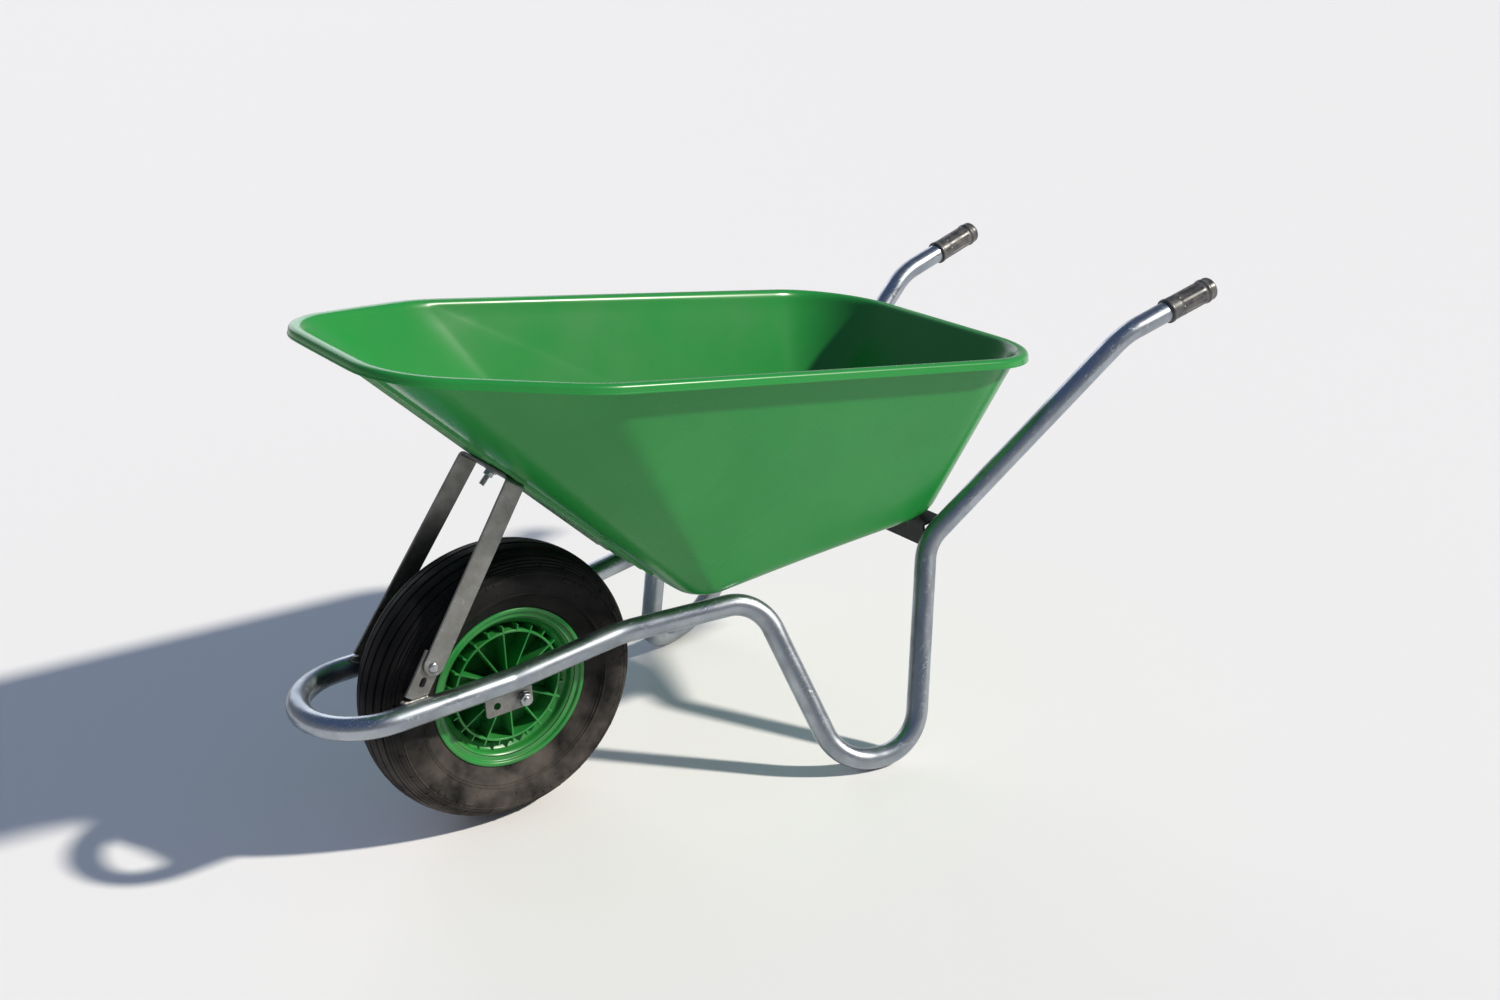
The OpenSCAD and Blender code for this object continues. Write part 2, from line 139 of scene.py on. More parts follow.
@dataclass
class Shell:
    """A mesh held as arrays, in millimetres with X and Y measured from the axle and Z from the ground.

    Attributes:
        points: corner places, (n, 3).
        quads: four-sided faces, (m, 4).
        tris: three-sided faces, (k, 3).
    """

    points: Array
    quads: Array = field(default_factory=lambda: np.zeros((0, 4), int))
    tris: Array = field(default_factory=lambda: np.zeros((0, 3), int))

    @classmethod
    def from_grid(cls, grid: Array, close_rows: bool = False, cap: bool = False) -> "Shell":
        """Joins a grid of points, whose columns always close on themselves.

        Args:
            grid: points (rows, columns, 3).
            close_rows: joins the last row back to the first, as on a ring.
            cap: closes the first and the last row with a fan about its middle.

        Returns:
            A closed shell with its faces outwards.
        """
        rows, cols = grid.shape[:2]
        index = np.arange(rows * cols).reshape(rows, cols)
        nxt = np.roll(index, -1, axis=1)
        lower, upper = (index, np.roll(index, -1, axis=0)) if close_rows else (index[:-1], index[1:])
        lower_n, upper_n = (nxt, np.roll(nxt, -1, axis=0)) if close_rows else (nxt[:-1], nxt[1:])
        quads = np.stack([lower, lower_n, upper_n, upper], axis=-1).reshape(-1, 4)
        points = grid.reshape(-1, 3)
        tris = np.zeros((0, 3), int)
        if cap:
            points = np.vstack([points, grid[0].mean(0), grid[-1].mean(0)])
            first, last = np.full(cols, rows * cols), np.full(cols, rows * cols + 1)
            tris = np.vstack([
                np.stack([first, nxt[0], index[0]], axis=-1),
                np.stack([last, index[-1], nxt[-1]], axis=-1),
            ])
        return cls(points, quads, tris).outward()

    def outward(self) -> "Shell":
        """Turns every face over if the shell encloses a negative volume."""
        faces = np.vstack([self.quads[:, :3], self.quads[:, [0, 2, 3]], self.tris])
        a, b, c = (self.points[faces[:, k]] - self.points.mean(0) for k in range(3))
        if np.einsum("ij,ij->", a, np.cross(b, c)) < 0:
            self.quads, self.tris = self.quads[:, ::-1], self.tris[:, ::-1]
        return self

    def mirrored(self, signs: tuple[float, float, float] = (1, -1, 1)) -> "Shell":
        """The same shell mirrored: without signs, on the other side of the barrow."""
        return Shell(self.points * signs, self.quads[:, ::-1].copy(), self.tris[:, ::-1].copy())

    def moved(self, origin: Array, across: Array, along: Array) -> "Shell":
        """Places a shell that was made about its own Z axis.

        Args:
            origin: where its origin goes.
            across: direction of its X axis.
            along: direction of its Z axis.

        Returns:
            The placed shell.
        """
        z = unit(along)
        x = unit(across - z * (np.asarray(across) @ z))
        axes = np.array([x, np.cross(z, x), z])
        return Shell(np.asarray(origin) + self.points @ axes, self.quads, self.tris)

    def to_object(self, name: str, sharp_degrees: float = 35.0) -> bpy.types.Object:
        """Makes the Blender object, in metres in the row's frame.

        Args:
            name: the piece's name.
            sharp_degrees: edges with more than this angle between their faces stay sharp.

        Returns:
            The object, at the origin, with its place in its mesh.
        """
        mesh = bpy.data.meshes.new(name)
        points = (self.points + [Barrow.axle_x, 0, 0]) * MM
        corners = np.concatenate([self.quads.ravel(), self.tris.ravel()]).astype(np.int32)
        totals = np.repeat([4, 3], [len(self.quads), len(self.tris)]).astype(np.int32)
        starts = np.concatenate([[0], np.cumsum(totals)[:-1]]).astype(np.int32)
        mesh.vertices.add(len(points))
        mesh.vertices.foreach_set("co", points.astype(np.float32).ravel())
        mesh.loops.add(len(corners))
        mesh.loops.foreach_set("vertex_index", corners)
        mesh.polygons.add(len(totals))
        mesh.polygons.foreach_set("loop_start", starts)
        mesh.update(calc_edges=True)
        mesh.validate()
        mesh.shade_smooth()
        mesh.set_sharp_from_angle(angle=math.radians(sharp_degrees))
        return linked(name, mesh)


def joined(shells: list[Shell]) -> Shell:
    """Several shells as one mesh, each still closed by itself."""
    starts = np.cumsum([0] + [len(s.points) for s in shells[:-1]])
    return Shell(
        np.vstack([s.points for s in shells]),
        np.vstack([s.quads + k for s, k in zip(shells, starts)]),
        np.vstack([s.tris + k for s, k in zip(shells, starts)]),
    )


def lathe(radii: Array, heights: Array, around: int = 48, close: bool = False) -> Shell:
    """Turns a profile about Z: the point at angle a and step k is (r_k cos a, r_k sin a, h_k).

    Args:
        radii: distances from the axis.
        heights: places along the axis.
        around: number of steps round the axis.
        close: True where the profile is a closed outline, as on a ring.

    Returns:
        The closed shell.
    """
    a = np.linspace(0, TURN, around, endpoint=False)
    r, h = np.asarray(radii, float)[:, None], np.asarray(heights, float)[:, None]
    return Shell.from_grid(round_axis(r, a, h), close_rows=close, cap=not close)


def rounded_outline(corners: list[tuple[float, float]], radius: float, steps: int = 4) -> Array:
    """A closed outline with every corner rounded by a quadratic curve.

    Args:
        corners: outline points (a, b) in order.
        radius: how far from a corner the rounding starts, cut down on short sides.
        steps: points inside each rounding.

    Returns:
        Points (n, 2).
    """
    p = np.array(corners, float)
    before, after = np.roll(p, 1, axis=0) - p, np.roll(p, -1, axis=0) - p
    reach_b = np.minimum(radius, 0.45 * np.linalg.norm(before, axis=1))[:, None]
    reach_a = np.minimum(radius, 0.45 * np.linalg.norm(after, axis=1))[:, None]
    t = np.linspace(0, 1, steps + 2)[:, None, None]
    start, end = p + unit(before) * reach_b, p + unit(after) * reach_a
    curve = (1 - t) ** 2 * start + 2 * t * (1 - t) * p + t**2 * end
    return curve.transpose(1, 0, 2).reshape(-1, 2)


@dataclass
class BentPath:
    """A polyline whose corners are bent to circular arcs.

    Attributes:
        corners: the corner points, (n, 3) in mm.
        radii: bend radius at each corner; the first and last are 0.
        side: a direction square to the first stretch, which the frame starts from.
    """

    corners: Array
    radii: Array
    side: Array

    def rings(self, straight_step: float = 20.0, bend_step: float = 3.0) -> tuple[Array, ...]:
        """Samples the path with a frame that turns only as the path bends.

        Args:
            straight_step: distance between rings on a straight, mm.
            bend_step: angle between rings in a bend, degrees.

        Returns:
            Places, tangents, the two section axes, and how far each ring is inside a bend (0 to 1).
        """
        p = np.asarray(self.corners, float)
        heads = unit(np.diff(p, axis=0))
        angles = np.arccos(np.clip(np.einsum("ij,ij->i", heads[:-1], heads[1:]), -1, 1))
        reach = np.concatenate([[0], np.asarray(self.radii)[1:-1] * np.tan(angles / 2), [0]])
        side = unit(self.side - heads[0] * (heads[0] @ self.side))
        places, tangents, sides, bends = [], [], [], []
        for i, head in enumerate(heads):
            start, end = p[i] + head * reach[i], p[i + 1] - head * reach[i + 1]
            count = max(2, int(np.linalg.norm(end - start) / straight_step) + 1)
            t = np.linspace(0, 1, count)[:, None]
            keep = slice(None) if np.linalg.norm(end - start) > 1.0 else slice(0, 1)
            places.append((start + (end - start) * t)[keep])
            tangents.append(np.tile(head, (count, 1))[keep])
            sides.append(np.tile(side, (count, 1))[keep])
            bends.append(np.zeros(count)[keep])
            if i == len(heads) - 1:
                break
            axis = unit(np.cross(head, heads[i + 1]))
            inward = np.cross(axis, head)
            centre = end + inward * self.radii[i + 1]
            steps = max(3, int(math.degrees(angles[i]) / bend_step) + 1)
            turn = np.linspace(0, angles[i], steps + 1)[1:-1]
            places.append(centre + turned(-inward * self.radii[i + 1], axis, turn))
            tangents.append(turned(head, axis, turn))
            sides.append(turned(side, axis, turn))
            bends.append(np.sin(np.pi * turn / angles[i]) ** 0.5)
            side = turned(side, axis, np.array([angles[i]]))[0]
        ups = np.cross(np.vstack(tangents), np.vstack(sides))
        return np.vstack(places), np.vstack(tangents), np.vstack(sides), ups, np.concatenate(bends)

    def tube(self, radius: float, around: int = 40, flatten: float = 0.02) -> Shell:
        """Carries a circle along the path; in a bend it is drawn in a little, as bent tube is.

        Args:
            radius: the tube's outer radius.
            around: steps round the section.
            flatten: share of the radius that a bend takes away.

        Returns:
            The closed tube.
        """
        places, _, sides, ups, bends = self.rings()
        a = np.linspace(0, 2 * np.pi, around, endpoint=False)
        r = (radius * (1.0 - flatten * bends))[:, None, None]
        across, up = np.cos(a)[None, :, None] * sides[:, None], np.sin(a)[None, :, None] * ups[:, None]
        return Shell.from_grid(places[:, None] + r * (across + up), cap=True)


# ---------------------------------------------------------------- materials


def linear(hex_colour: str) -> tuple[float, float, float, float]:
    """An sRGB hex colour such as "2E7D46" as linear red, green, blue and alpha."""
    srgb = np.array([int(hex_colour[k : k + 2], 16) for k in (0, 2, 4)]) / 255.0
    rgb = np.where(srgb <= 0.04045, srgb / 12.92, ((srgb + 0.055) / 1.055) ** 2.4)
    return (*map(float, rgb), 1.0)


def per_metre(size_mm: float) -> float:
    """Noise or Voronoi scale whose features are about this many millimetres across."""
    return 1.0 / (size_mm * MM)


class Nodes:
    """A node tree being built, with a short way to each kind of node that the finishes share."""

    def __init__(self, tree: bpy.types.NodeTree) -> None:
        self.tree = tree

    def add(self, kind: str, inputs: dict | None = None, **settings: object) -> bpy.types.Node:
        """Adds a node with its settings and links.

        Args:
            kind: the node's type, without "ShaderNode".
            inputs: socket name or number to a value, or to an output socket to link from.
            settings: the node's own properties.

        Returns:
            The new node.
        """
        node = self.tree.nodes.new(f"ShaderNode{kind}")
        for name, value in settings.items():
            setattr(node, name, value)
        for key, value in (inputs or {}).items():
            if isinstance(value, Socket):
                self.tree.links.new(value, node.inputs[key])
            else:
                node.inputs[key].default_value = value
        return node

    def maths(self, operation: str, first: Socket, second: float | Socket = 0.0) -> Socket:
        """The result of an operation on one or two values."""
        return self.add("Math", {0: first, 1: second}, operation=operation).outputs[0]

    def spread(
        self, value: Socket, low: float = 0.0, high: float = 1.0, start: float = 0.0, end: float = 1.0
    ) -> Socket:
        """A value that runs from low to high, stretched to run from start to end."""
        return self.add("MapRange", {0: value, 1: low, 2: high, 3: start, 4: end}).outputs[0]

    def colours(self, share: Socket, first: Socket | tuple, second: Socket | tuple) -> Socket:
        """Two colours, mixed by the share of the second."""
        return self.add("Mix", {0: share, 6: first, 7: second}, data_type="RGBA").outputs[2]

    def clouds(self, place: Socket, size_mm: float, detail: float, roughness: float = 0.5) -> Socket:
        """Cloudy noise whose features are about this many millimetres across."""
        inputs = {"Vector": place, "Scale": per_metre(size_mm), "Detail": detail, "Roughness": roughness}
        return self.add("TexNoise", inputs).outputs[0]

    def patches(self, place: Socket, size_mm: float, full: float) -> Socket:
        """Soft patches, from 0 between them to 1 where the noise reaches the value called full."""
        return self.spread(self.clouds(place, size_mm, 4.0, 0.55), 0.35, full)


@dataclass(frozen=True)
class Finish:
    """A surface: its two mottled colours, its gloss, its grain and the dirt on it, whose patches on the tyre
    and grips also paint shade and sheen.

    Attributes:
        name: what the surface is.
        base: main colour, sRGB hex.
        second: colour that it drifts to.
        mottle_mm: size of the drift's patches.
        mottle_share: how much of the second colour the patches reach.
        metallic: 1 for bare metal.
        roughness: lowest and highest roughness.
        grain_mm: size of the fine grain in the surface.
        grain_depth_mm: how deep the grain is drawn.
        dust_and_sheen: colour of dust patches, or none; on the grips these pale patches also paint the sheen
            of the vinyl.
        dust_and_sheen_mm: size of those patches.
        dust_and_sheen_share: how much of the surface those patches cover.
        dust_and_shade_fade_mm: heights between which the dust thins out upwards, leaving the top darker as
            painted shade, or none.
        scratch: share of fine scratches.
        ior: index of refraction; the shader's own 1.5 on metals.
    """

    name: str
    base: str
    second: str
    mottle_mm: float
    mottle_share: float
    metallic: float = 0.0
    roughness: tuple[float, float] = (0.35, 0.5)
    grain_mm: float = 1.2
    grain_depth_mm: float = 0.02
    dust_and_sheen: str = ""
    dust_and_sheen_mm: float = 60.0
    dust_and_sheen_share: float = 0.3
    dust_and_shade_fade_mm: tuple[float, float] | None = None
    scratch: float = 0.0
    ior: float = 1.5

    def material(self) -> bpy.types.Material:
        """Builds the material, or returns the one already made."""
        if self.name in bpy.data.materials:
            return bpy.data.materials[self.name]
        made = bpy.data.materials.new(self.name)
        made.use_nodes = True
        nodes = Nodes(made.node_tree)
        place = nodes.add("TexCoord").outputs["Object"]
        drift = nodes.patches(place, self.mottle_mm, 0.68)
        share = nodes.maths("MULTIPLY", drift, self.mottle_share)
        colour = nodes.colours(share, linear(self.base), linear(self.second))
        rough = nodes.spread(drift, start=self.roughness[0], end=self.roughness[1])
        if self.scratch:
            colour, rough = self._scratched(nodes, place, colour, rough)
        if self.dust_and_sheen:
            colour, rough = self._dust_sheen_and_shade(nodes, place, colour, rough)
        grain = nodes.clouds(place, self.grain_mm, 3.0)
        bump = nodes.add("Bump", {"Height": grain, "Distance": self.grain_depth_mm * MM, "Strength": 1.0})
        sockets = made.node_tree.nodes["Principled BSDF"].inputs
        sockets["Metallic"].default_value = self.metallic
        sockets["IOR"].default_value = self.ior
        for name, value in (("Base Color", colour), ("Roughness", rough), ("Normal", bump.outputs[0])):
            made.node_tree.links.new(value, sockets[name])
        made.diffuse_color = linear(self.base)
        return made

    def _scratched(
        self, nodes: Nodes, place: Socket, colour: Socket, rough: Socket
    ) -> tuple[Socket, Socket]:
        """Fine pale scratches: the thin places where a stretched noise crosses its middle value.

        Args:
            nodes: the material's nodes.
            place: the coordinates.
            colour: colour so far.
            rough: roughness so far.

        Returns:
            The new colour and roughness.
        """
        stretch = {"Vector": place, "Rotation": (0.4, 0.9, 0.5), "Scale": (1, 6, 1)}
        lines = nodes.clouds(nodes.add("Mapping", stretch).outputs[0], 35, 2.0)
        near = nodes.maths("ABSOLUTE", nodes.maths("SUBTRACT", lines, 0.5))
        thin = nodes.spread(near, 0.0, 0.006, self.scratch, 0.0)
        return nodes.colours(thin, colour, linear("D8DCDC")), nodes.maths("ADD", rough, thin)

    def _dust_sheen_and_shade(
        self, nodes: Nodes, place: Socket, colour: Socket, rough: Socket
    ) -> tuple[Socket, Socket]:
        """Dry dust in soft patches, dull and matt; the same pale patches paint sheen on the grips, and their
        thinning upwards paints shade on the tyre.

        Args:
            nodes: the material's nodes.
            place: the coordinates.
            colour: colour so far.
            rough: roughness so far.

        Returns:
            The new colour and roughness.
        """
        amount = nodes.maths("MULTIPLY", nodes.patches(place, self.dust_and_sheen_mm, 0.75), self.dust_and_sheen_share)
        # Thinning the dust out upwards paints shade: the top of the piece is left darker.
        if self.dust_and_shade_fade_mm:
            height = nodes.add("SeparateXYZ", {0: place}).outputs["Z"]
            low, high = (v * MM for v in self.dust_and_shade_fade_mm)
            amount = nodes.maths("MULTIPLY", amount, nodes.spread(height, low, high, 1.0, 0.1))
        dull = nodes.add("Mix", {0: amount, 2: rough, 3: 0.85}, data_type="FLOAT").outputs[0]
        return nodes.colours(amount, colour, linear(self.dust_and_sheen)), dull


# Hot-dip zinc on drawn tube: cool grey, with cloudy dull places and hair-fine scratches
GALVANISED = Finish(
    "dipped_zinc", "A9B0B8", "858D97", 60, 0.9, metallic=1.0, roughness=(0.22, 0.42),
    grain_mm=1.6, grain_depth_mm=0.014, scratch=0.35, dust_and_sheen="7E7464", dust_and_sheen_mm=90, dust_and_sheen_share=0.16,
)
# The same zinc on rolled bar, which takes it duller than tube does
FLAT_BAR = Finish(
    "galvanised_flat_bar", "8E8F8D", "70716E", 30, 0.7, metallic=1.0, roughness=(0.36, 0.55),
    grain_mm=0.9, grain_depth_mm=0.015, scratch=0.3, dust_and_sheen="6E6354", dust_and_sheen_mm=40, dust_and_sheen_share=0.25,
)
# Rippled weld metal under zinc paint: rougher than what it joins, with brown flux in its ripples
WELD = Finish(
    "weld_bead", "A3A4A1", "77756F", 6, 0.8, metallic=1.0, roughness=(0.35, 0.6),
    grain_mm=0.8, grain_depth_mm=0.06, dust_and_sheen="5C4A38", dust_and_sheen_mm=14, dust_and_sheen_share=0.5,
)
# Bright zinc plate on fasteners: shinier than the dipped bar, with a little dull bloom
ZINC = Finish(
    "zinc_plate", "B4B7B9", "8C9094", 8, 0.6, metallic=1.0, roughness=(0.2, 0.38),
    grain_mm=0.5, grain_depth_mm=0.006, dust_and_sheen="6E6354", dust_and_sheen_mm=12, dust_and_sheen_share=0.15,
)
# Moulded polypropylene: clean mid green with a satin skin and a faint orange peel
TRAY_GREEN = Finish(
    "green_polypropylene", "1F873A", "1C7C34", 220, 0.7, roughness=(0.22, 0.31), ior=1.42,
    grain_mm=2.6, grain_depth_mm=0.02, dust_and_sheen="8E967C", dust_and_sheen_mm=150, dust_and_sheen_share=0.05,
)
# Moulded rim plastic: deeper green, with road dust in its corners
RIM_GREEN = Finish(
    "green_rim_plastic", "158134", "116628", 60, 0.6, roughness=(0.24, 0.38),
    grain_mm=1.8, grain_depth_mm=0.015, dust_and_sheen="8D8A6E", dust_and_sheen_mm=40, dust_and_sheen_share=0.12,
)
# Vulcanised rubber: almost black, with a dry brown-grey bloom of dust that is thickest near the ground; the
# dust thinning out upwards also paints the tray's shade over the top of the wheel, leaving the lit lower
# wall paler
TYRE_RUBBER = Finish(
    "vulcanised_rubber", "0D0D0E", "141415", 30, 0.7, roughness=(0.6, 0.75), ior=1.25,
    grain_mm=0.9, grain_depth_mm=0.08, dust_and_sheen="79716A", dust_and_sheen_mm=55, dust_and_sheen_share=0.6, dust_and_shade_fade_mm=(70, 250),
)
# Valve rubber: plain soft black, matt
SOFT_BLACK = Finish("soft_black_rubber", "161616", "202020", 8, 0.5, roughness=(0.5, 0.65), grain_mm=0.6)
# Dip-moulded vinyl: dark grey, polished by hands, with a pale bloom in places that also paints the sheen
# along the grips
GRIP_VINYL = Finish(
    "grip_vinyl", "2A2A2C", "404042", 14, 0.7, roughness=(0.26, 0.42),
    grain_mm=0.7, grain_depth_mm=0.03, dust_and_sheen="9A9894", dust_and_sheen_mm=16, dust_and_sheen_share=0.3,
)
# Black stoving paint over hot-rolled angle: dark grey, slightly uneven
BRACE_PAINT = Finish(
    "stoved_black", "1A1D1D", "262929", 25, 0.7, roughness=(0.4, 0.55), ior=1.4,
    grain_mm=1.4, grain_depth_mm=0.04, scratch=0.15, dust_and_sheen="6E6A60", dust_and_sheen_mm=40, dust_and_sheen_share=0.06,
)
# Natural nylon: off-white and waxy
BUSH_NYLON = Finish(
    "natural_nylon", "D9D6CB", "C9C4B4", 10, 0.6, grain_mm=0.8, grain_depth_mm=0.01,
    dust_and_sheen="8D8A6E", dust_and_sheen_mm=10, dust_and_sheen_share=0.3,
)


# ---------------------------------------------------------------- the barrow's common sizes


class Barrow:
    """What every sub-assembly shares: where the axle is, and how finished pieces join the frame."""

    axle_x: float = 0.0

    @classmethod
    def read(cls, frame: dict) -> None:
        """Takes the axle's place from the wheel's joint."""
        cls.axle_x = frame["joints"][0]["pos_m"][0] / MM

    @staticmethod
    def finish_piece(
        obj: bpy.types.Object, finish: Finish, body: str, slot: str, nodes: tuple[str, ...] = ()
    ) -> bpy.types.Object:
        """Dresses a piece, mounts it on its body and hides the CAD nodes that it stands for.

        Args:
            obj: the piece.
            finish: its surface.
            body: the body that it moves with.
            slot: the record's material slot; not used.
            nodes: CAD nodes that it replaces.

        Returns:
            The piece.
        """
        obj.data.materials.clear()
        obj.data.materials.append(finish.material())
        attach(obj, body)
        if nodes:
            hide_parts(*nodes)
        LOG.info("%s: %d faces on %s", obj.name, len(obj.data.polygons), body)
        return obj

    @staticmethod
    def fasten(parts: dict[str, Shell]) -> None:
        """Makes bright fasteners on the frame, each in place of the CAD node it is called after."""
        for node, shell in parts.items():
            piece = shell.to_object(f"{node}_turned")
            Barrow.finish_piece(piece, ZINC, "frame", "zinc_plated_steel", (node,))

    @staticmethod
    def dress_node(frame: dict, node: str, finish: Finish) -> None:
        """Gives a CAD node that stays in view its material."""
        mesh = frame["nodes"][node].data
        mesh.materials.clear()
        mesh.materials.append(finish.material())
        LOG.info("%s: CAD node in %s", node, finish.name)

    @staticmethod
    def eased_copy(frame: dict, node: str, width_mm: float) -> bpy.types.Object:
        """A copy of a CAD node with its corners eased by a bevel.

        Args:
            frame: the loaded frame.
            node: the CAD node.
            width_mm: the bevel's width.

        Returns:
            The new piece, called after its node.
        """
        obj = linked(f"{node}_eased", frame["nodes"][node].data.copy())
        work = bmesh.new()
        work.from_mesh(obj.data)
        bmesh.ops.remove_doubles(work, verts=work.verts, dist=0.001 * MM)
        bmesh.ops.dissolve_limit(work, angle_limit=math.radians(1.0), verts=work.verts, edges=work.edges)
        work.to_mesh(obj.data)
        work.free()
        obj.data.shade_smooth()
        obj.data.set_sharp_from_angle(angle=math.radians(40))
        bevel = obj.modifiers.new("eased_edges", "BEVEL")
        bevel.width = width_mm * MM
        bevel.segments = 2
        bevel.limit_method = "ANGLE"
        bevel.angle_limit = math.radians(50)
        bevel.harden_normals = True
        return obj


# ---------------------------------------------------------------- frame tube


@dataclass
class TubeFrame:
    """One length of tube: nose loop, side tubes, leg loops and handles, with its welds and rear brace.

    Attributes:
        radius: the tube's outer radius.
        setback: how far the tube's end stays inside the grip's end.
        corners: bend points of the right-hand side, from the handle's end to the nose.
        radii: bend radii at those points.
        bead_radius: radius of a weld bead.
        ripple: spacing of the ripples along a bead.
    """

    radius: float = 16.0
    setback: float = 5.0
    corners: tuple = (
        (1148, 265, 594), (972, 250, 551), (633, 183, 284), (525, 280, 16), (407, 251, 16),
        (358, 129, 257), (150, 88, 254), (-22, 88, 240), (-277.7, 88, 240),
    )
    radii: tuple = (0, 117, 75, 75, 75, 64, 156, 150, 88)
    bead_radius: float = 2.6
    ripple: float = 3.2

    def path(self) -> BentPath:
        """The whole centreline, from the right-hand handle round the nose to the left-hand one."""
        right = np.array(self.corners, float)
        right[0] -= unit(right[0] - right[1]) * self.setback
        corners = np.vstack([right, right[::-1] * [1, -1, 1]])
        return BentPath(corners, np.array(self.radii + self.radii[::-1], float), np.array([0.0, 1.0, 0.0]))

    @property
    def over_axle(self) -> tuple[float, float, float]:
        """The bend by the axle, from where the right-hand side tube rises towards the legs."""
        return self.corners[7]

    def bead(self, places: Array) -> Shell:
        """A weld bead: a circle along a path, its radius rippled as r(1 + 0.14 cos(2 pi s / ripple)).

        Args:
            places: points of the path, (n, 3), close together.

        Returns:
            The closed bead, tapered at both ends.
        """
        tangents, run = unit(np.gradient(places, axis=0)), travelled(places)
        taper = np.sqrt(np.clip(np.minimum(run, run[-1] - run) / (1.5 * self.bead_radius), 0.02, 1))
        r = self.bead_radius * (1 + 0.14 * np.cos(TURN * run / self.ripple)) * taper
        helper = np.array([0.31, 0.23, 0.92])  # along no bead
        side = unit(np.cross(tangents, helper))
        up = np.cross(tangents, side)
        a = np.linspace(0, TURN, 12, endpoint=False)
        ring = np.cos(a)[None, :, None] * side[:, None] + np.sin(a)[None, :, None] * up[:, None]
        return Shell.from_grid(places[:, None] + r[:, None, None] * ring, cap=True)

    def bracket_beads(self, bracket: "AxleGroup") -> Shell:
        """Beads along both faces of a bracket's plate, where its ends meet the underside of the tube."""
        beads, length, inset = [], 20.0, 1.0
        (bend_x, bend_y, bend_z), behind = self.over_axle, self.corners[6]
        slope = (behind[2] - bend_z) / (behind[0] - bend_x)
        for face, outer in ((bracket.plate_out, 1.0), (bracket.plate_in, 0.0)):
            off = min(abs(bend_y - face), self.radius - 0.5)
            z = bend_z - math.sqrt(self.radius**2 - off**2) + 0.6 * outer
            for start in (bracket.plate_x[0] + inset, bracket.plate_x[1] - inset - length):
                x = np.linspace(start, start + length, 60)
                rise = np.clip(x - bend_x, 0, None) * slope
                beads.append(self.bead(np.stack([x, 0 * x + face + 0.8 * outer, z + rise], axis=-1)))
        return joined(beads)

    def lug_beads(self, stay: "FrontStay") -> Shell:
        """A bead round a lug's section where it runs into the top of the tube."""
        half, back, face, shift, longest = 15, -4.2, 0.2, 3.0, 14
        outline = rounded_outline([(-half, back), (half, back), (half, face), (-half, face)], 2.0)
        outline = np.vstack([outline, outline[:1]])
        steps, fine = np.arange(len(outline)), np.linspace(0, len(outline) - 1, 90)
        wide, deep = (np.interp(fine, steps, outline[:, k])[:, None] for k in (0, 1))
        across, flat_dir, down, origin = stay.leg_frame(stay.lug_at_tube)
        places = origin + (wide + shift) * across + (deep - stay.thickness / 2) * flat_dir
        _, bend_y, bend_z = self.over_axle
        off = np.clip(np.abs(places[:, 1] - bend_y), 0, self.radius - 1)
        reach = (bend_z + np.sqrt(self.radius**2 - off**2) - places[:, 2]) / down[2]
        return self.bead(places + np.clip(reach, -longest, longest)[:, None] * down)

    def build(self, frame: dict, axle: "AxleGroup", stay: "FrontStay") -> None:
        """Makes the tube, its weld beads and the rear brace."""
        tube = self.path().tube(self.radius).to_object("frame_tube_bent")
        Barrow.finish_piece(tube, GALVANISED, "frame", "galvanised_steel", ("frame_tube",))
        beads = joined([self.bracket_beads(axle), self.lug_beads(stay)])
        for side, shell in (("right", beads), ("left", beads.mirrored())):
            Barrow.finish_piece(shell.to_object(f"weld_beads_{side}"), WELD, "frame", "galvanised_steel")
        brace = Barrow.eased_copy(frame, "rear_brace", 0.8)
        Barrow.finish_piece(brace, BRACE_PAINT, "frame", "brace_paint", ("rear_brace",))


# ---------------------------------------------------------------- fasteners


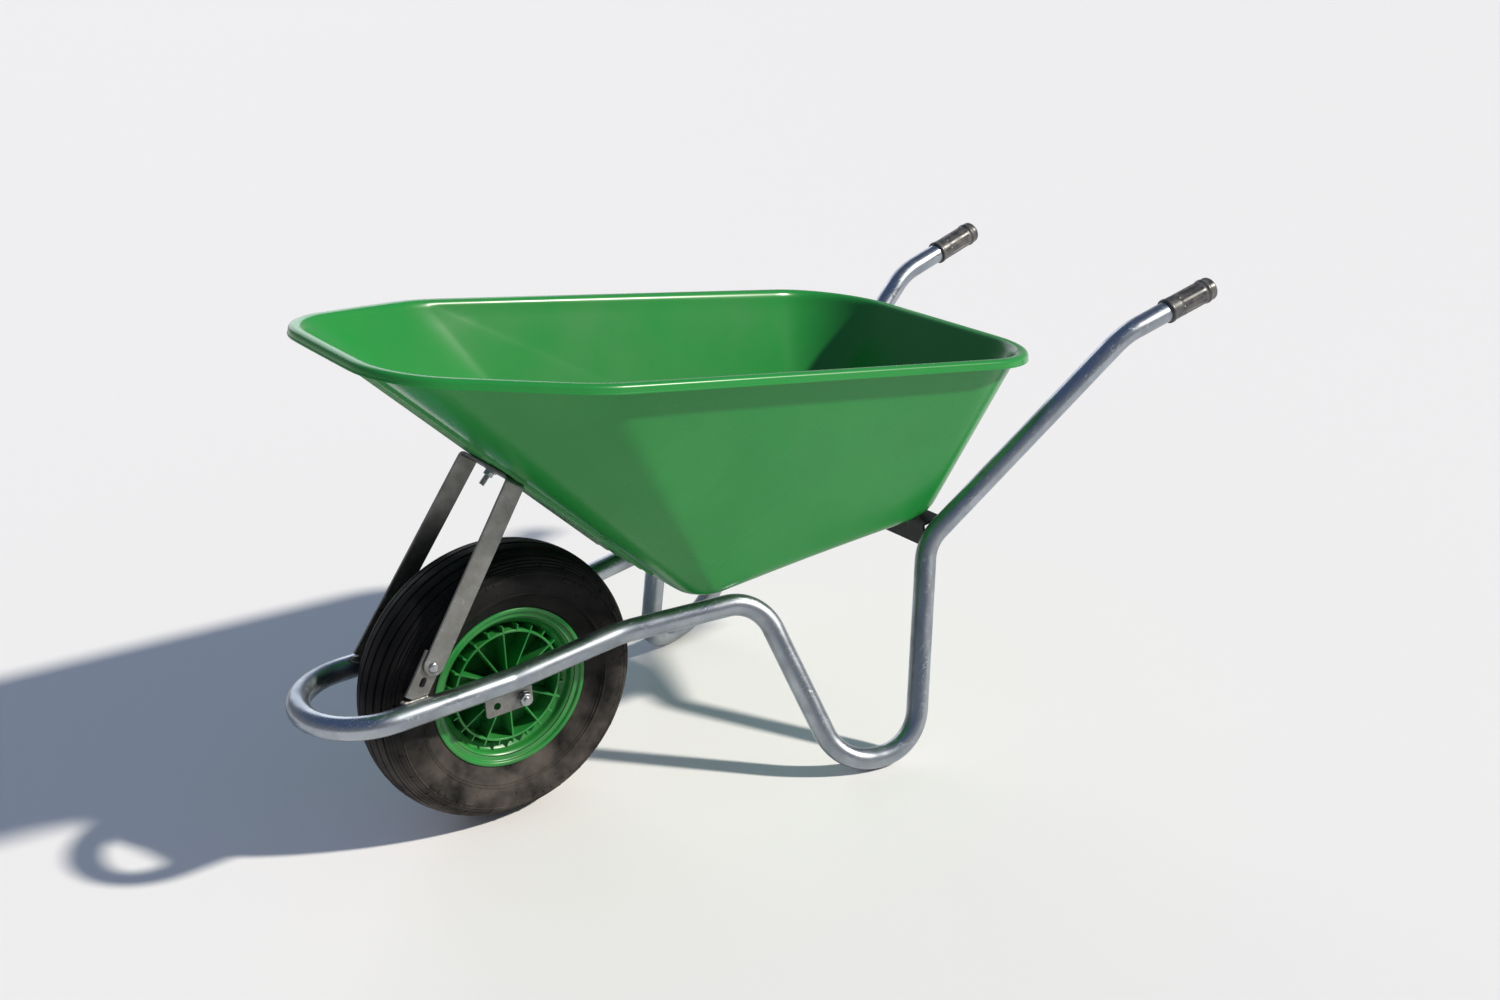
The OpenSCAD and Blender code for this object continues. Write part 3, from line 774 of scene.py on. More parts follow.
@dataclass
class Fastener:
    """A metric bolt set: threaded shank, hexagon or domed head, nut.

    Attributes:
        radius: the thread's outer radius.
        pitch: distance between threads.
        flats: width across a hexagon's flats.
    """

    radius: float
    pitch: float
    flats: float

    def thread(self, start: float, end: float) -> Shell:
        """A screw thread: the radius falls and rises with |((z / pitch - a / 2 pi) mod 1) - 1/2|.

        Args:
            start: height where the shank starts.
            end: height of its free end, which is chamfered.

        Returns:
            The closed shank about Z.
        """
        rows = max(12, int(abs(end - start) / self.pitch * 7))
        z = np.linspace(start, end, rows)[:, None]
        a = np.linspace(0, TURN, 28, endpoint=False)[None, :]
        wave = np.abs((z / self.pitch - a / TURN) % 1.0 - 0.5) * 2.0
        r = self.radius - 0.55 * self.pitch * smoothstep(wave, 0.15, 0.95)
        r = np.minimum(r, self.radius - 0.9 + np.abs(end - z) * 0.9)
        return Shell.from_grid(round_axis(r, a, z), cap=True)

    def hexagon(self, start: float, end: float, bore: float = 0.0) -> Shell:
        """A hexagon whose corners are turned off: the least of the flat's distance and a cone's radius.

        Args:
            start: height of one face.
            end: height of the other.
            bore: radius of the hole, or 0 for a solid head.

        Returns:
            The closed hexagon about Z.
        """
        ease = np.array([0, 0.35, 0.8, 1.5])
        z = np.concatenate([start + ease, (end - ease)[::-1]])[:, None]
        a = np.linspace(0, TURN, 72, endpoint=False)[None, :]
        face = self.flats / 2 / np.cos((a + np.pi / 6) % (np.pi / 3) - np.pi / 6)
        cone = self.flats / 2 - 0.3 + np.minimum(z - start, end - z) * 1.5
        outer = round_axis(np.minimum(face, cone), a, z)
        if bore == 0.0:
            return Shell.from_grid(outer, cap=True)
        inner = round_axis(bore, a, np.array([[end], [start]]))
        return Shell.from_grid(np.concatenate([outer, inner]), close_rows=True)

    def nut(self, start: float, end: float) -> Shell:
        """A nut, whose hole is a little tighter than the thread so that no gap shows."""
        return self.hexagon(start, end, self.radius - 0.1)

    def dome(self, head_radius: float, height: float, base: float, upwards: float = 1.0) -> Shell:
        """A low domed head: a cap of a sphere over a thin cylindrical edge.

        Args:
            head_radius: radius of the head.
            height: height of the cap.
            base: height of its flat side.
            upwards: 1 if it domes along +Z, -1 along -Z.

        Returns:
            The closed head.
        """
        turn = np.linspace(0, np.pi / 2, 9)
        r = np.concatenate([[0.2, head_radius - 0.3, head_radius], head_radius * np.cos(turn[1:-1]), [0.3]])
        h = np.concatenate([[0, 0, 0.5], 0.5 + (height - 0.5) * np.sin(turn[1:-1]), [height]])
        return lathe(r, base + upwards * h, 40)

    def washer(self, outer: float, start: float, end: float) -> Shell:
        """A flat ring with its edges eased."""
        inner = self.radius + 0.35
        r = [inner, outer - 0.3, outer, outer, outer - 0.3, inner]
        z = [start, start, start + 0.3, end - 0.3, end, end]
        return lathe(r, z, 40, close=True)


M8 = Fastener(4.0, 1.25, 13.0)
M8_NUT = 6.5  # heights, mm
WASHER = 2.0


# ---------------------------------------------------------------- front stay


@dataclass
class FrontStay:
    """The flat bar bent to a U between the tray's front wall and the lugs on the side tubes.

    Attributes:
        width: the bar's width.
        thickness: the bar's thickness.
        strap_half: half the distance between its legs' middles.
        strap_middle: middle of the strap's back face.
        wall_up: direction up the tray's front wall.
        wall_out: direction out of that wall.
        leg_length: length of a leg from the strap to its rounded end.
        lean: direction of the right-hand leg.
        bend_radius: radius of the bends between strap and legs.
        bolt_at: distance of the bolt down a leg.
        lug_at_tube: distance down a leg where its lug meets the tube.
    """

    width: float = 30.0
    thickness: float = 4.0
    strap_half: float = 64.0
    strap_middle: Array = field(default_factory=lambda: np.zeros(3))
    wall_up: Array = field(default_factory=lambda: np.zeros(3))
    wall_out: Array = field(default_factory=lambda: np.zeros(3))
    leg_length: float = 270.0
    lean: tuple = (-173.0, 18.0, -245.0)
    bend_radius: float = 4.6
    bolt_at: float = 258.0
    lug_at_tube: float = 300.0

    @property
    def top(self) -> Array:
        """Where the right-hand leg's middle line starts."""
        return self.strap_middle + self.wall_out * self.thickness + np.array([0, self.strap_half, 0])

    def leg_frame(self, along: float) -> tuple[Array, Array, Array, Array]:
        """Axes of the right-hand leg: across it, out of its flat and down it; and its middle's place."""
        down = unit(np.array(self.lean))
        flat = unit(np.cross(down, unit(np.cross([0, 1, 0], down))))
        return np.cross(flat, down), flat, down, self.top + down * along

    def bar(self) -> Shell:
        """Carries a round-edged section along the U; its width turns from the wall's slope to the leg's."""
        across, _, down, start = self.leg_frame(-2.0)
        right = np.array([start, start + down * (self.leg_length + 2.0)])
        corners = np.vstack([right[::-1], right * [1, -1, 1]])
        radii = np.array([0, self.bend_radius, self.bend_radius, 0])
        places, tangents, *_ = BentPath(corners, radii, across).rings(4.0, 7.0)
        share = smoothstep(np.abs(places[:, 1]), self.strap_half - 10, self.strap_half + 1)[:, None]
        wide = unit(self.wall_up * (1 - share) + across * share)
        wide = unit(wide - tangents * np.einsum("ij,ij->i", wide, tangents)[:, None])
        thick = np.cross(tangents, wide)
        run = travelled(places)
        to_end = np.clip(np.minimum(run, run[-1] - run), 0.05, self.width / 2)
        half = np.sqrt((self.width / 2) ** 2 - (self.width / 2 - to_end) ** 2)[:, None]
        edge = 0.8
        outline = rounded_outline([(-1, -1), (1, -1), (1, 1), (-1, 1)], 0.3)
        x = outline[None, :, 0] * half
        eased = np.maximum(half - edge * (1 - np.abs(outline[None, :, 0])), 0.02)
        x = np.sign(x) * np.minimum(np.abs(x), eased)
        y = np.broadcast_to(outline[None, :, 1] * self.thickness / 2, x.shape)
        grid = places[:, None] + x[..., None] * wide[:, None] + y[..., None] * thick[:, None]
        return Shell.from_grid(grid, cap=True)


# ---------------------------------------------------------------- tray


@dataclass
class Plane:
    """A plane tilted about Y that holds one of the tray's outlines.

    Attributes:
        front_x: where its outline starts.
        front_z: its height there.
        rise_degrees: how steeply it rises towards the handles.
        discs: corner discs of the outline: x, y and radius of the wall's outer face.
        softness: how far the straight edges bow between the discs, mm.
    """

    front_x: float
    front_z: float
    rise_degrees: float
    discs: tuple
    softness: float

    @property
    def axes(self) -> tuple[Array, Array]:
        """Direction up the slope, and the plane's normal."""
        a = math.radians(self.rise_degrees)
        return np.array([math.cos(a), 0, math.sin(a)]), np.array([-math.sin(a), 0, math.cos(a)])

    def height(self, x: float) -> float:
        """Height of the plane at a distance from the axle."""
        return self.front_z + (x - self.front_x) * math.tan(math.radians(self.rise_degrees))

    def outline(self, headings: Array, grow: float = 0.0, lift: float = 0.0) -> Array:
        """The outline's point for each outward heading: the soft greatest of the discs along that heading.

        Each disc i pulls with weight exp(h_i / softness), where h_i is its reach along the heading,
        and the point is the weighted mean of c_i + (r_i + grow) n.

        Args:
            headings: angles in the plane, 0 towards the handles.
            grow: distance outwards from the outline.
            lift: distance off the plane.

        Returns:
            Points (n, 3).
        """
        n = np.stack([np.cos(headings), np.sin(headings)], axis=-1)
        slope = math.cos(math.radians(self.rise_degrees))
        sides = [(x, s * y, r) for x, y, r in self.discs for s in (-1, 1)]
        discs = np.array([((x - self.front_x) / slope, y, r) for x, y, r in sides])
        reach = n @ discs[:, :2].T + discs[:, 2]
        pull = np.exp((reach - reach.max(axis=1, keepdims=True)) / self.softness)
        pull /= pull.sum(axis=1, keepdims=True)
        flat = pull @ discs[:, :2] + ((pull @ discs[:, 2]) + grow)[:, None] * n
        up_slope, normal = self.axes
        origin = np.array([self.front_x, 0, self.front_z])
        return origin + flat[:, :1] * up_slope + flat[:, 1:] * [0, 1, 0] + lift * normal


@dataclass
class Tray:
    """The moulded tray: floor, sloping walls, rolled lip, and ribs down the front wall.

    Attributes:
        rim: the plane and outline of the rim.
        floor: the plane and outline of the floor's underside.
        wall: thickness of the moulding.
        floor_ease: reach of the rounding between floor and wall.
        rib_height: height of a front rib.
        rib_width: width of a rib.
        rib_pitch: spacing of the ribs.
        rib_count: number of ribs.
        rib_span: where a rib starts and ends up the wall.
        rib_run_out: half of the length over which a rib's end sinks into the wall.
        strap_along: distance of the stay's strap up the wall.
        inner_ease: reach of the rounding from the inner wall to the lip.
        outer_ease: reach of the rounding from the lip to the outer wall.
        inner_turn: how far above the rim that inner rounding's middle point lies.
        lip_profile: the lip's section from inside to outside: distance out from the rim and above it.
    """

    rim: Plane = field(default_factory=lambda: Plane(
        -176, 709.5, -9.33, ((-64, 78, 112), (88, 58, 190), (694, 124, 127)), 5.0))
    floor: Plane = field(default_factory=lambda: Plane(
        262, 274, 5.0, ((302, 85, 40), (641, 123, 35)), 3.0))
    wall: float = 4.0
    floor_ease: float = 26.0
    rib_height: float = 4.0
    rib_width: float = 7.0
    rib_pitch: float = 24.0
    rib_count: int = 6
    rib_span: tuple[float, float] = (60.0, 580.0)
    rib_run_out: float = 4.0
    strap_along: float = 332.0
    inner_ease: float = 11.0
    outer_ease: float = 9.0
    inner_turn: float = 4.8
    lip_profile: tuple = (
        (3.5, 5.2), (7.0, 5.6), (10.0, 5.3), (12.6, 4.1), (14.3, 2.1), (15.0, -0.4), (15.2, -3.0),
        (15.3, -4.6), (15.9, -5.3), (16.0, -6.2), (15.6, -6.9), (14.6, -7.0), (13.2, -6.9),
        (12.5, -6.2), (12.2, -4.5), (12.1, -1.4), (11.3, 0.4), (9.6, 1.3), (6.0, 1.6),
    )

    @property
    def foot(self) -> Array:
        """Foot of the front wall, in the middle plane."""
        return np.array([self.floor.front_x, 0, self.floor.front_z])

    @property
    def wall_line(self) -> Array:
        """The front wall's middle line, from its foot to the rim."""
        return np.array([self.rim.front_x, 0, self.rim.front_z]) - self.foot

    @property
    def wall_up(self) -> Array:
        """Direction up the front wall."""
        return unit(self.wall_line)

    @property
    def wall_out(self) -> Array:
        """Direction out of the front wall."""
        return np.array([-self.wall_up[2], 0, self.wall_up[0]])

    @property
    def strap_middle(self) -> Array:
        """Middle of the stay's strap, on its back face."""
        return self.foot + self.wall_up * self.strap_along + self.wall_out * (self.rib_height + 0.2)

    def headings(self) -> Array:
        """Outward headings of the mesh's columns.

        They are close together where the ribs' sides are, and elsewhere even along the outlines.

        Returns:
            Angles once round the tray, the same on both sides.
        """
        half = np.linspace(0, np.pi, 6001)
        ends = [p.outline(half) for p in (self.rim, self.floor)]
        across = (ends[0][:, 1] + ends[1][:, 1]) / 2
        centres = (np.arange(self.rib_count // 2) + 0.5) * self.rib_pitch
        knots = np.array([-0.5, -0.42, -0.3, 0.3, 0.42, 0.5]) * self.rib_width
        ribs = np.concatenate([[0.0], (centres[:, None] + knots).ravel()])
        ahead = half > 0.6 * np.pi
        falling, turned_half = across[ahead][::-1], half[ahead][::-1]
        front = np.interp(ribs, falling, turned_half)
        run = sum(travelled(end) for end in ends)
        stop = np.interp(ribs.max() + 4.0, falling, turned_half)
        even = np.interp(np.linspace(0, np.interp(stop, half, run), 120), run, half)
        side = np.unique(np.concatenate([even, front]))
        return np.concatenate([side, (TURN - side[1:-1])[::-1]])

    def rib_lift(self, headings: Array) -> Array:
        """How much of a rib's height each column carries, 0 to 1."""
        across = (self.rim.outline(headings)[:, 1] + self.floor.outline(headings)[:, 1]) / 2
        centre = (np.floor(across / self.rib_pitch) + 0.5) * self.rib_pitch
        inside = np.abs(across) < self.rib_count / 2 * self.rib_pitch
        front = np.cos(headings) < -0.5
        low, high = 0.34 * self.rib_width, 0.49 * self.rib_width
        return (1 - smoothstep(np.abs(across - centre), low, high)) * inside * front

    def shell(self) -> Shell:
        """The whole moulding as one closed surface over (heading, profile).

        A column runs from the middle of the floor's inside, up the inner wall, over and under the lip,
        down the outer wall and back to the middle of the underside. Walls are straight lines between the
        floor's and the rim's points of equal heading, and every turn between them is a Bezier curve.

        Returns:
            The closed shell.
        """
        a = self.headings()

        def lip(point: tuple[float, float]) -> Array:
            return self.rim.outline(a, *point)

        inner_foot = self.floor.outline(a, -self.wall, self.wall)
        inner_top = self.rim.outline(a, -self.wall)
        inner = inner_top - inner_foot
        rows = self._floor_rows(inner_foot, inner_top, 1.0)
        length = np.linalg.norm(inner, axis=1, keepdims=True)
        start, end = self.floor_ease / length, 1 - self.inner_ease / length
        rows += [inner_foot + inner * (start + (end - start) * t) for t in np.linspace(0, 1, 16)]
        turn = inner_top + self.rim.axes[1] * self.inner_turn
        rows += list(quadratic(rows[-1], turn, lip(self.lip_profile[0]), 6))
        rows += [lip(point) for point in self.lip_profile]
        outer_foot, outer_top = self.floor.outline(a), self.rim.outline(a)
        outer = outer_top - outer_foot
        length = np.linalg.norm(outer, axis=1, keepdims=True)
        top = outer_foot + outer * (1 - self.outer_ease / length)
        rows += list(quadratic(lip(self.lip_profile[-1]), lip((0.4, 1.4)), top, 5))
        rib = self.wall_out * self.rib_lift(a)[:, None] * self.rib_height
        front = np.linalg.norm(self.wall_line)
        run_out = self.rib_run_out * np.linspace(-1, 1, 5)
        ends = (np.array(self.rib_span)[:, None] + run_out).ravel() / front
        low, high = self.floor_ease / front, 1 - self.outer_ease / front
        for t in np.sort(np.concatenate([np.linspace(low, high, 30), ends]))[::-1]:
            s = (t - low) / (high - low)
            share = self.floor_ease / length
            share = share + (1 - self.outer_ease / length - share) * s
            start, stop = (
                smoothstep(t * front, at - self.rib_run_out, at + self.rib_run_out)
                for at in self.rib_span
            )
            rows.append(outer_foot + outer * share + rib * start * (1 - stop))
        rows += self._floor_rows(outer_foot, outer_top, 1.3)[::-1]
        return Shell.from_grid(np.array(rows), cap=True)

    def _floor_rows(self, foot: Array, top: Array, ease: float) -> list[Array]:
        """Rows from the floor's middle out to where the wall starts.

        Args:
            foot: the sharp corner between floor and wall.
            top: the wall's upper end.
            ease: share of the rounding's reach on this face.

        Returns:
            Rows of points, from the middle outwards.
        """
        middle = foot.mean(0)
        inward, upward = unit(middle - foot), unit(top - foot)
        start, end = foot + inward * self.floor_ease * ease, foot + upward * self.floor_ease
        rows = [middle + (start - middle) * s for s in (0.04, 0.3, 0.6, 0.85, 1.0)]
        return rows + list(quadratic(start, foot, end, 8))

    def build(self) -> None:
        """Makes the tray and its fastenings."""
        piece = self.shell().to_object("tray_moulding", 50)
        Barrow.finish_piece(piece, TRAY_GREEN, "frame", "tray_plastic", ("tray",))
        self._fasten_front()
        self._fasten_rear()

    def _fasten_front(self) -> None:
        """The bolt, washer and nut through the stay's strap."""
        strap, head, reach = 4.0, 12.7, 23.0
        at = (self.strap_middle + self.wall_out * strap, [0, 1, 0], self.wall_out)
        parts = {
            "front_tray_bolt": joined([M8.thread(-head, reach), M8.dome(9, 4.5, -head, -1)]),
            "front_tray_washer": M8.washer(9, 0, WASHER),
            "front_tray_nut": M8.nut(WASHER, WASHER + M8_NUT),
        }
        Barrow.fasten({node: shell.moved(*at) for node, shell in parts.items()})

    def _fasten_rear(self) -> None:
        """The two bolts, washers and nuts through the rear brace."""
        x, y, brace, spare = 650.0, 90.0, 4.0, 3.0
        below = -brace - WASHER
        shank = M8.thread(self.wall + 1, below - M8_NUT - spare)
        parts = {
            "rear_tray_bolts": joined([shank, M8.dome(9, 4.5, self.wall + 0.2)]),
            "rear_tray_washers": M8.washer(8, below, -brace),
            "rear_tray_nuts": M8.nut(below - M8_NUT, below),
        }
        at, normal = [x, -y, self.floor.height(x)], self.floor.axes[1]
        placed = {node: shell.moved(at, [1, 0, 0], normal) for node, shell in parts.items()}
        Barrow.fasten({
            node: joined([left, Shell(left.points + [0, 2 * y, 0], left.quads, left.tris)])
            for node, left in placed.items()
        })


# ---------------------------------------------------------------- axle, brackets, stay fastenings


@dataclass
class AxleGroup:
    """Brackets, axle bolt and what sits on it outside the wheel.

    Attributes:
        plate_in: distance from the middle plane to a bracket's inner face.
        plate_out: distance to its outer face.
        plate_x: front and rear ends of a bracket.
        nut_height: height of the axle nut.
        head_height: height of the bolt's head.
    """

    plate_in: float = 69.5
    plate_out: float = 73.5
    plate_x: tuple[float, float] = (-57.0, 14.0)
    nut_height: float = 8.4
    head_height: float = 6.4

    def build(self, frame: dict) -> None:
        """Makes the brackets, bolt, nut and washers, and dresses the spacers."""
        bolt, spare, up = Fastener(5.0, 1.5, 17.0), 3.0, [0.26, 0, 0.97]
        outside = self.plate_out + WASHER
        parts = {
            "axle_bolt": joined([
                lathe([0.3, 5, 5, 0.3], [outside, outside, 1 - outside, 1 - outside], 40),
                bolt.thread(-outside + 1.5, -(outside + self.nut_height + spare)),
                bolt.hexagon(outside, outside + self.head_height),
            ]),
            "axle_nut": bolt.nut(-outside - self.nut_height, -outside),
            "axle_washers": joined([bolt.washer(10, s * self.plate_out, s * outside) for s in (-1, 1)]),
        }
        Barrow.fasten({
            node: shell.moved([0, 0, AXLE_HEIGHT], up, [0, 1, 0]) for node, shell in parts.items()
        })
        for side in ("left", "right"):
            name = f"axle_bracket_{side}"
            plate = Barrow.eased_copy(frame, name, 0.7)
            Barrow.finish_piece(plate, FLAT_BAR, "frame", "galvanised_steel", (name,))
            Barrow.dress_node(frame, f"axle_spacer_{side}", ZINC)


@dataclass
class StayGroup:
    """The front stay with its lugs, bolts and nuts.

    Attributes:
        stay: the bent bar.
    """

    stay: FrontStay

    def build(self, frame: dict) -> None:
        """Makes the bar, the lugs and their fasteners."""
        bar = self.stay.bar().to_object("front_stay_bent")
        Barrow.finish_piece(bar, FLAT_BAR, "frame", "galvanised_steel", ("front_stay",))
        for side in ("left", "right"):
            name = f"stay_lug_{side}"
            lug = Barrow.eased_copy(frame, name, 0.5)
            Barrow.finish_piece(lug, FLAT_BAR, "frame", "galvanised_steel", (name,))
        across, out, _, place = self.stay.leg_frame(self.stay.bolt_at)
        bar_t, play, spare = self.stay.thickness, 0.2, 2.0
        seat = -1.5 * bar_t
        parts = {
            "stay_bolts": joined([
                M8.thread(bar_t / 2 + 1, seat - M8_NUT - spare), M8.dome(7, 3.4, bar_t / 2)]),
            "stay_nuts": M8.nut(seat - play - M8_NUT, seat - play),
        }
        right = {node: shell.moved(place, across, out) for node, shell in parts.items()}
        Barrow.fasten({node: joined([shell, shell.mirrored()]) for node, shell in right.items()})


# ---------------------------------------------------------------- grips


@dataclass
class Grips:
    """The two moulded grips: collar, smooth neck, fluted hand part, ring and domed end.

    Attributes:
        length: length over all.
        radius: radius of the hand part.
        mouth: how far the mouth's inner edge lies inside that radius, negative inwards.
        profile: the outline from the mouth to the end: length, and distance outside the hand part's radius.
        end: end of the right-hand handle's middle line.
        before: the bend point before it.
        flutes: number of flutes round the grip.
        flute_depth: depth of a flute.
    """

    length: float = 95.0
    radius: float = 18.4
    mouth: float = -2.6
    profile: tuple = (
        (0, 0.6), (0.8, 1.1), (2.0, 1.2), (4.2, 1.2), (5.2, 0.9), (6.4, 0), (12, 0), (17, 0), (18.5, -0.1),
        (20, -0.3), (24, 0), (30, 0), (40, 0), (50, 0), (60, 0), (66, 0), (70, -0.1), (72, -0.3), (74, -0.3),
        (76, 0), (77, 0.9), (78, 1.2), (80.5, 1.2), (81.5, 0.9), (83, 0), (86, 0), (90.6, 0), (92, -0.4),
        (93.2, -1.3), (94.2, -2.6), (94.8, -4.4), (95, -8.0),
    )
    end: tuple = (1148.0, 265.0, 594.0)
    before: tuple = (972.0, 250.0, 551.0)
    flutes: int = 10
    flute_depth: float = 1.3

    def shell(self) -> Shell:
        """The grip: its radius is the profile, less a smooth step of (1 + cos(flutes a)) / 2."""
        places, proud = np.array(self.profile, float).T
        fine = np.unique(np.concatenate([places, np.linspace(20, 72, 27)]))
        profile = np.concatenate([[self.mouth], np.interp(fine, places, proud)])[:, None]
        s = np.concatenate([[0.0], fine])[:, None]
        a = np.linspace(0, TURN, 120, endpoint=False)[None, :]
        hand = smoothstep(s, 21, 25) * (1 - smoothstep(s, 66, 70))
        flute = smoothstep((1 + np.cos(self.flutes * a)) / 2, 0.45, 0.8) * self.flute_depth
        return Shell.from_grid(round_axis(self.radius + profile - flute * hand, a, s), cap=True)

    def build(self) -> None:
        """Makes both grips."""
        end, along = np.array(self.end), unit(np.array(self.end) - self.before)
        right = self.shell().moved(end - along * self.length, [0, 0, 1], along)
        for side, shell in (("right", right), ("left", right.mirrored())):
            piece = shell.to_object(f"grip_{side}_moulded")
            Barrow.finish_piece(piece, GRIP_VINYL, "frame", "grip_plastic", (f"grip_{side}",))


# ---------------------------------------------------------------- wheel


@dataclass
class Wheel:
    """Ribbed pneumatic tyre on a one-piece moulded rim with its hub, ring and ribs.

    Attributes:
        radius: the tyre's outer radius.
        half_width: half of its section's width.
        rim_radius: outer radius of the rim's flanges.
        rim_half: distance from the middle plane to a flange's outer face.
        bead_radius: radius of the bead seats.
        barrel_radius: inner radius of the well.
        rim_wall: thickness of the barrel.
        ring_radius: radius of the ring that the ribs pass through.
        rib_thickness: thickness of ribs and ring.
        rib_half: distance from the middle plane to a rib's edge.
        hub_radius: outer radius of the hub.
        hub_half: half of the hub's length.
        spokes: number of long ribs.
        groove_depth: depth of the tread's grooves.
        grooves: the tread's grooves: degrees from the crown, half width in degrees, share of that depth.
        steps: shoulder steps: degrees from the crown.
        step_depth: depth of a step.
        rings: raised rings on the walls: degrees from the crown, half width, height.
    """

    radius: float = AXLE_HEIGHT
    half_width: float = 59.0
    rim_radius: float = 116.5
    rim_half: float = 41.0
    bead_radius: float = 101.5
    barrel_radius: float = 88.0
    rim_wall: float = 4.0
    ring_radius: float = 80.0
    rib_thickness: float = 3.5
    rib_half: float = 32.0
    hub_radius: float = 20.0
    hub_half: float = 46.0
    spokes: int = 12
    groove_depth: float = 3.4
    grooves: tuple = ((8.5, 2.0, 1.0), (24.5, 2.0, 1.0), (39.0, 1.6, 0.8))
    steps: tuple = (47.0, 53.0, 59.0)
    step_depth: float = 1.3
    rings: tuple = ((68.0, 1.4, 1.0), (71.5, 1.4, 1.0), (113.0, 1.8, 1.2), (118.0, 1.2, 0.9))

    def wall(self, turn: Array, lift: Array) -> tuple[Array, Array]:
        """The tyre's oval section, in (radius, distance from the middle plane).

        Args:
            turn: angle round the section, pi / 2 at the crown.
            lift: distance off the oval, along its normal.

        Returns:
            Radii and distances.
        """
        middle, half = (self.radius + self.rim_radius) / 2, (self.radius - self.rim_radius) / 2
        n = unit(np.stack([np.sin(turn) / half, np.cos(turn) / self.half_width], axis=-1))
        r, y = middle + half * np.sin(turn), self.half_width * np.cos(turn)
        return r + n[..., 0] * lift, y + n[..., 1] * lift

    def tread_lift(self, turn: Array) -> Array:
        """Grooves in the tread, fine steps on the shoulders and raised rings on the walls.

        Args:
            turn: angle round the section.

        Returns:
            Lift off the oval: a sum of flat-bottomed notches and of raised cosine bands.
        """
        off = np.abs(np.degrees(turn) - 90.0)
        lift = 0.0 * off
        for centre, half, depth in self.grooves:
            lift -= self.groove_depth * depth * (1 - smoothstep(np.abs(off - centre), half * 0.6, half))
        for centre in self.steps:
            lift -= self.step_depth * (1 - smoothstep(np.abs(off - centre), 0.8, 1.8))
        for centre, half, height in self.rings:
            lift += height * (1 - smoothstep(np.abs(off - centre), 0.3 * half, half))
        return lift

    def tyre(self) -> Shell:
        """The tyre: its section carried once round the axle."""
        reach, gap, inside = math.radians(128.0), 0.3, -9.0
        turn = np.linspace(np.pi / 2 - reach, np.pi / 2 + reach, 300)
        radii, sides = self.wall(turn, self.tread_lift(turn))
        bead, seat = self.bead_radius + gap, self.rim_half - self.rim_wall - gap
        hook = self.rim_radius + 0.8
        foot_r = np.array([hook, hook - 0.6, bead, bead])
        foot_y = np.array([seat + 2.4, seat, seat, 27.0])
        back = turn[-1] - np.linspace(0, 2 * reach, 40)
        inner_r, inner_y = self.wall(back, np.full(40, inside))
        r = np.concatenate([radii, foot_r, inner_r, foot_r[::-1]])
        y = np.concatenate([sides, -foot_y, inner_y, foot_y[::-1]])
        return lathe(r, y, 224, close=True)

    def raised_bar(self, turn: tuple[float, float], around: tuple[float, float], lift: float) -> Shell:
        """A low bar moulded on the tyre's wall.

        Args:
            turn: the two angles round the section that it lies between, degrees.
            around: the two angles round the axle, degrees.
            lift: its height.

        Returns:
            The closed bar, its foot sunk in the wall.
        """
        edge = (turn[1] - turn[0]) * 0.2
        across = np.radians([turn[0], turn[0] + edge, turn[1] - edge, turn[1], turn[1], turn[0]])
        r, y = self.wall(across, np.array([0.2, lift, lift, 0.2, -0.8, -0.8]))
        steps = max(3, int(abs(around[1] - around[0]) / 2.0) + 2)
        a = np.radians(np.linspace(*around, steps))[:, None]
        return Shell.from_grid(round_axis(r, a, y), cap=True)

    def wall_marks(self) -> Shell:
        """Plain moulded dashes and ticks on both walls, in place of any lettering."""
        group = ((0, 5.0), (7, 2.4), (11, 6.0), (19, 2.4), (23, 4.0))
        dashes = [(k * 60.0 + start, k * 60.0 + start + run) for k in range(6) for start, run in group]
        ticks = [(k * 12.0 - 0.35, k * 12.0 + 0.35) for k in range(30)]
        bars = [self.raised_bar((8.0, 16.0), span, 0.9) for span in dashes]
        bars += [self.raised_bar((24.5, 33.0), span, 0.9) for span in ticks]
        bars += [self.raised_bar((-12.0, -5.0), span, 0.8) for span in ticks[::2]]
        near = joined(bars)
        return joined([near, near.mirrored((1, 1, -1))])

    def rim(self) -> Shell:
        """The rim: barrel with flanges, ring, web, hub and radial ribs, each a closed shell."""
        flange, seat = self.rim_half - self.rim_wall, self.bead_radius - self.rim_wall
        half = [
            (self.barrel_radius, 18), (seat, 24), (seat + 1, flange - 4), (seat + 5, flange - 0.5),
            (self.rim_radius - 7.5, flange - 0.5), (self.rim_radius - 6, self.rim_half),
            (self.rim_radius, self.rim_half), (self.rim_radius, flange), (self.bead_radius, flange),
            (self.bead_radius, 23), (self.barrel_radius + self.rim_wall, 16),
        ]
        inner, outer = (self.ring_radius + s * self.rib_thickness / 2 for s in (-1, 1))
        bore, recess, depth = 6.5, 11, 22
        hub = [(bore, depth), (recess, depth), (recess, self.hub_half), (self.hub_radius, self.hub_half)]

        def mirrored(points: list[tuple[float, float]]) -> list[tuple[float, float]]:
            return [(r, -y) for r, y in points]

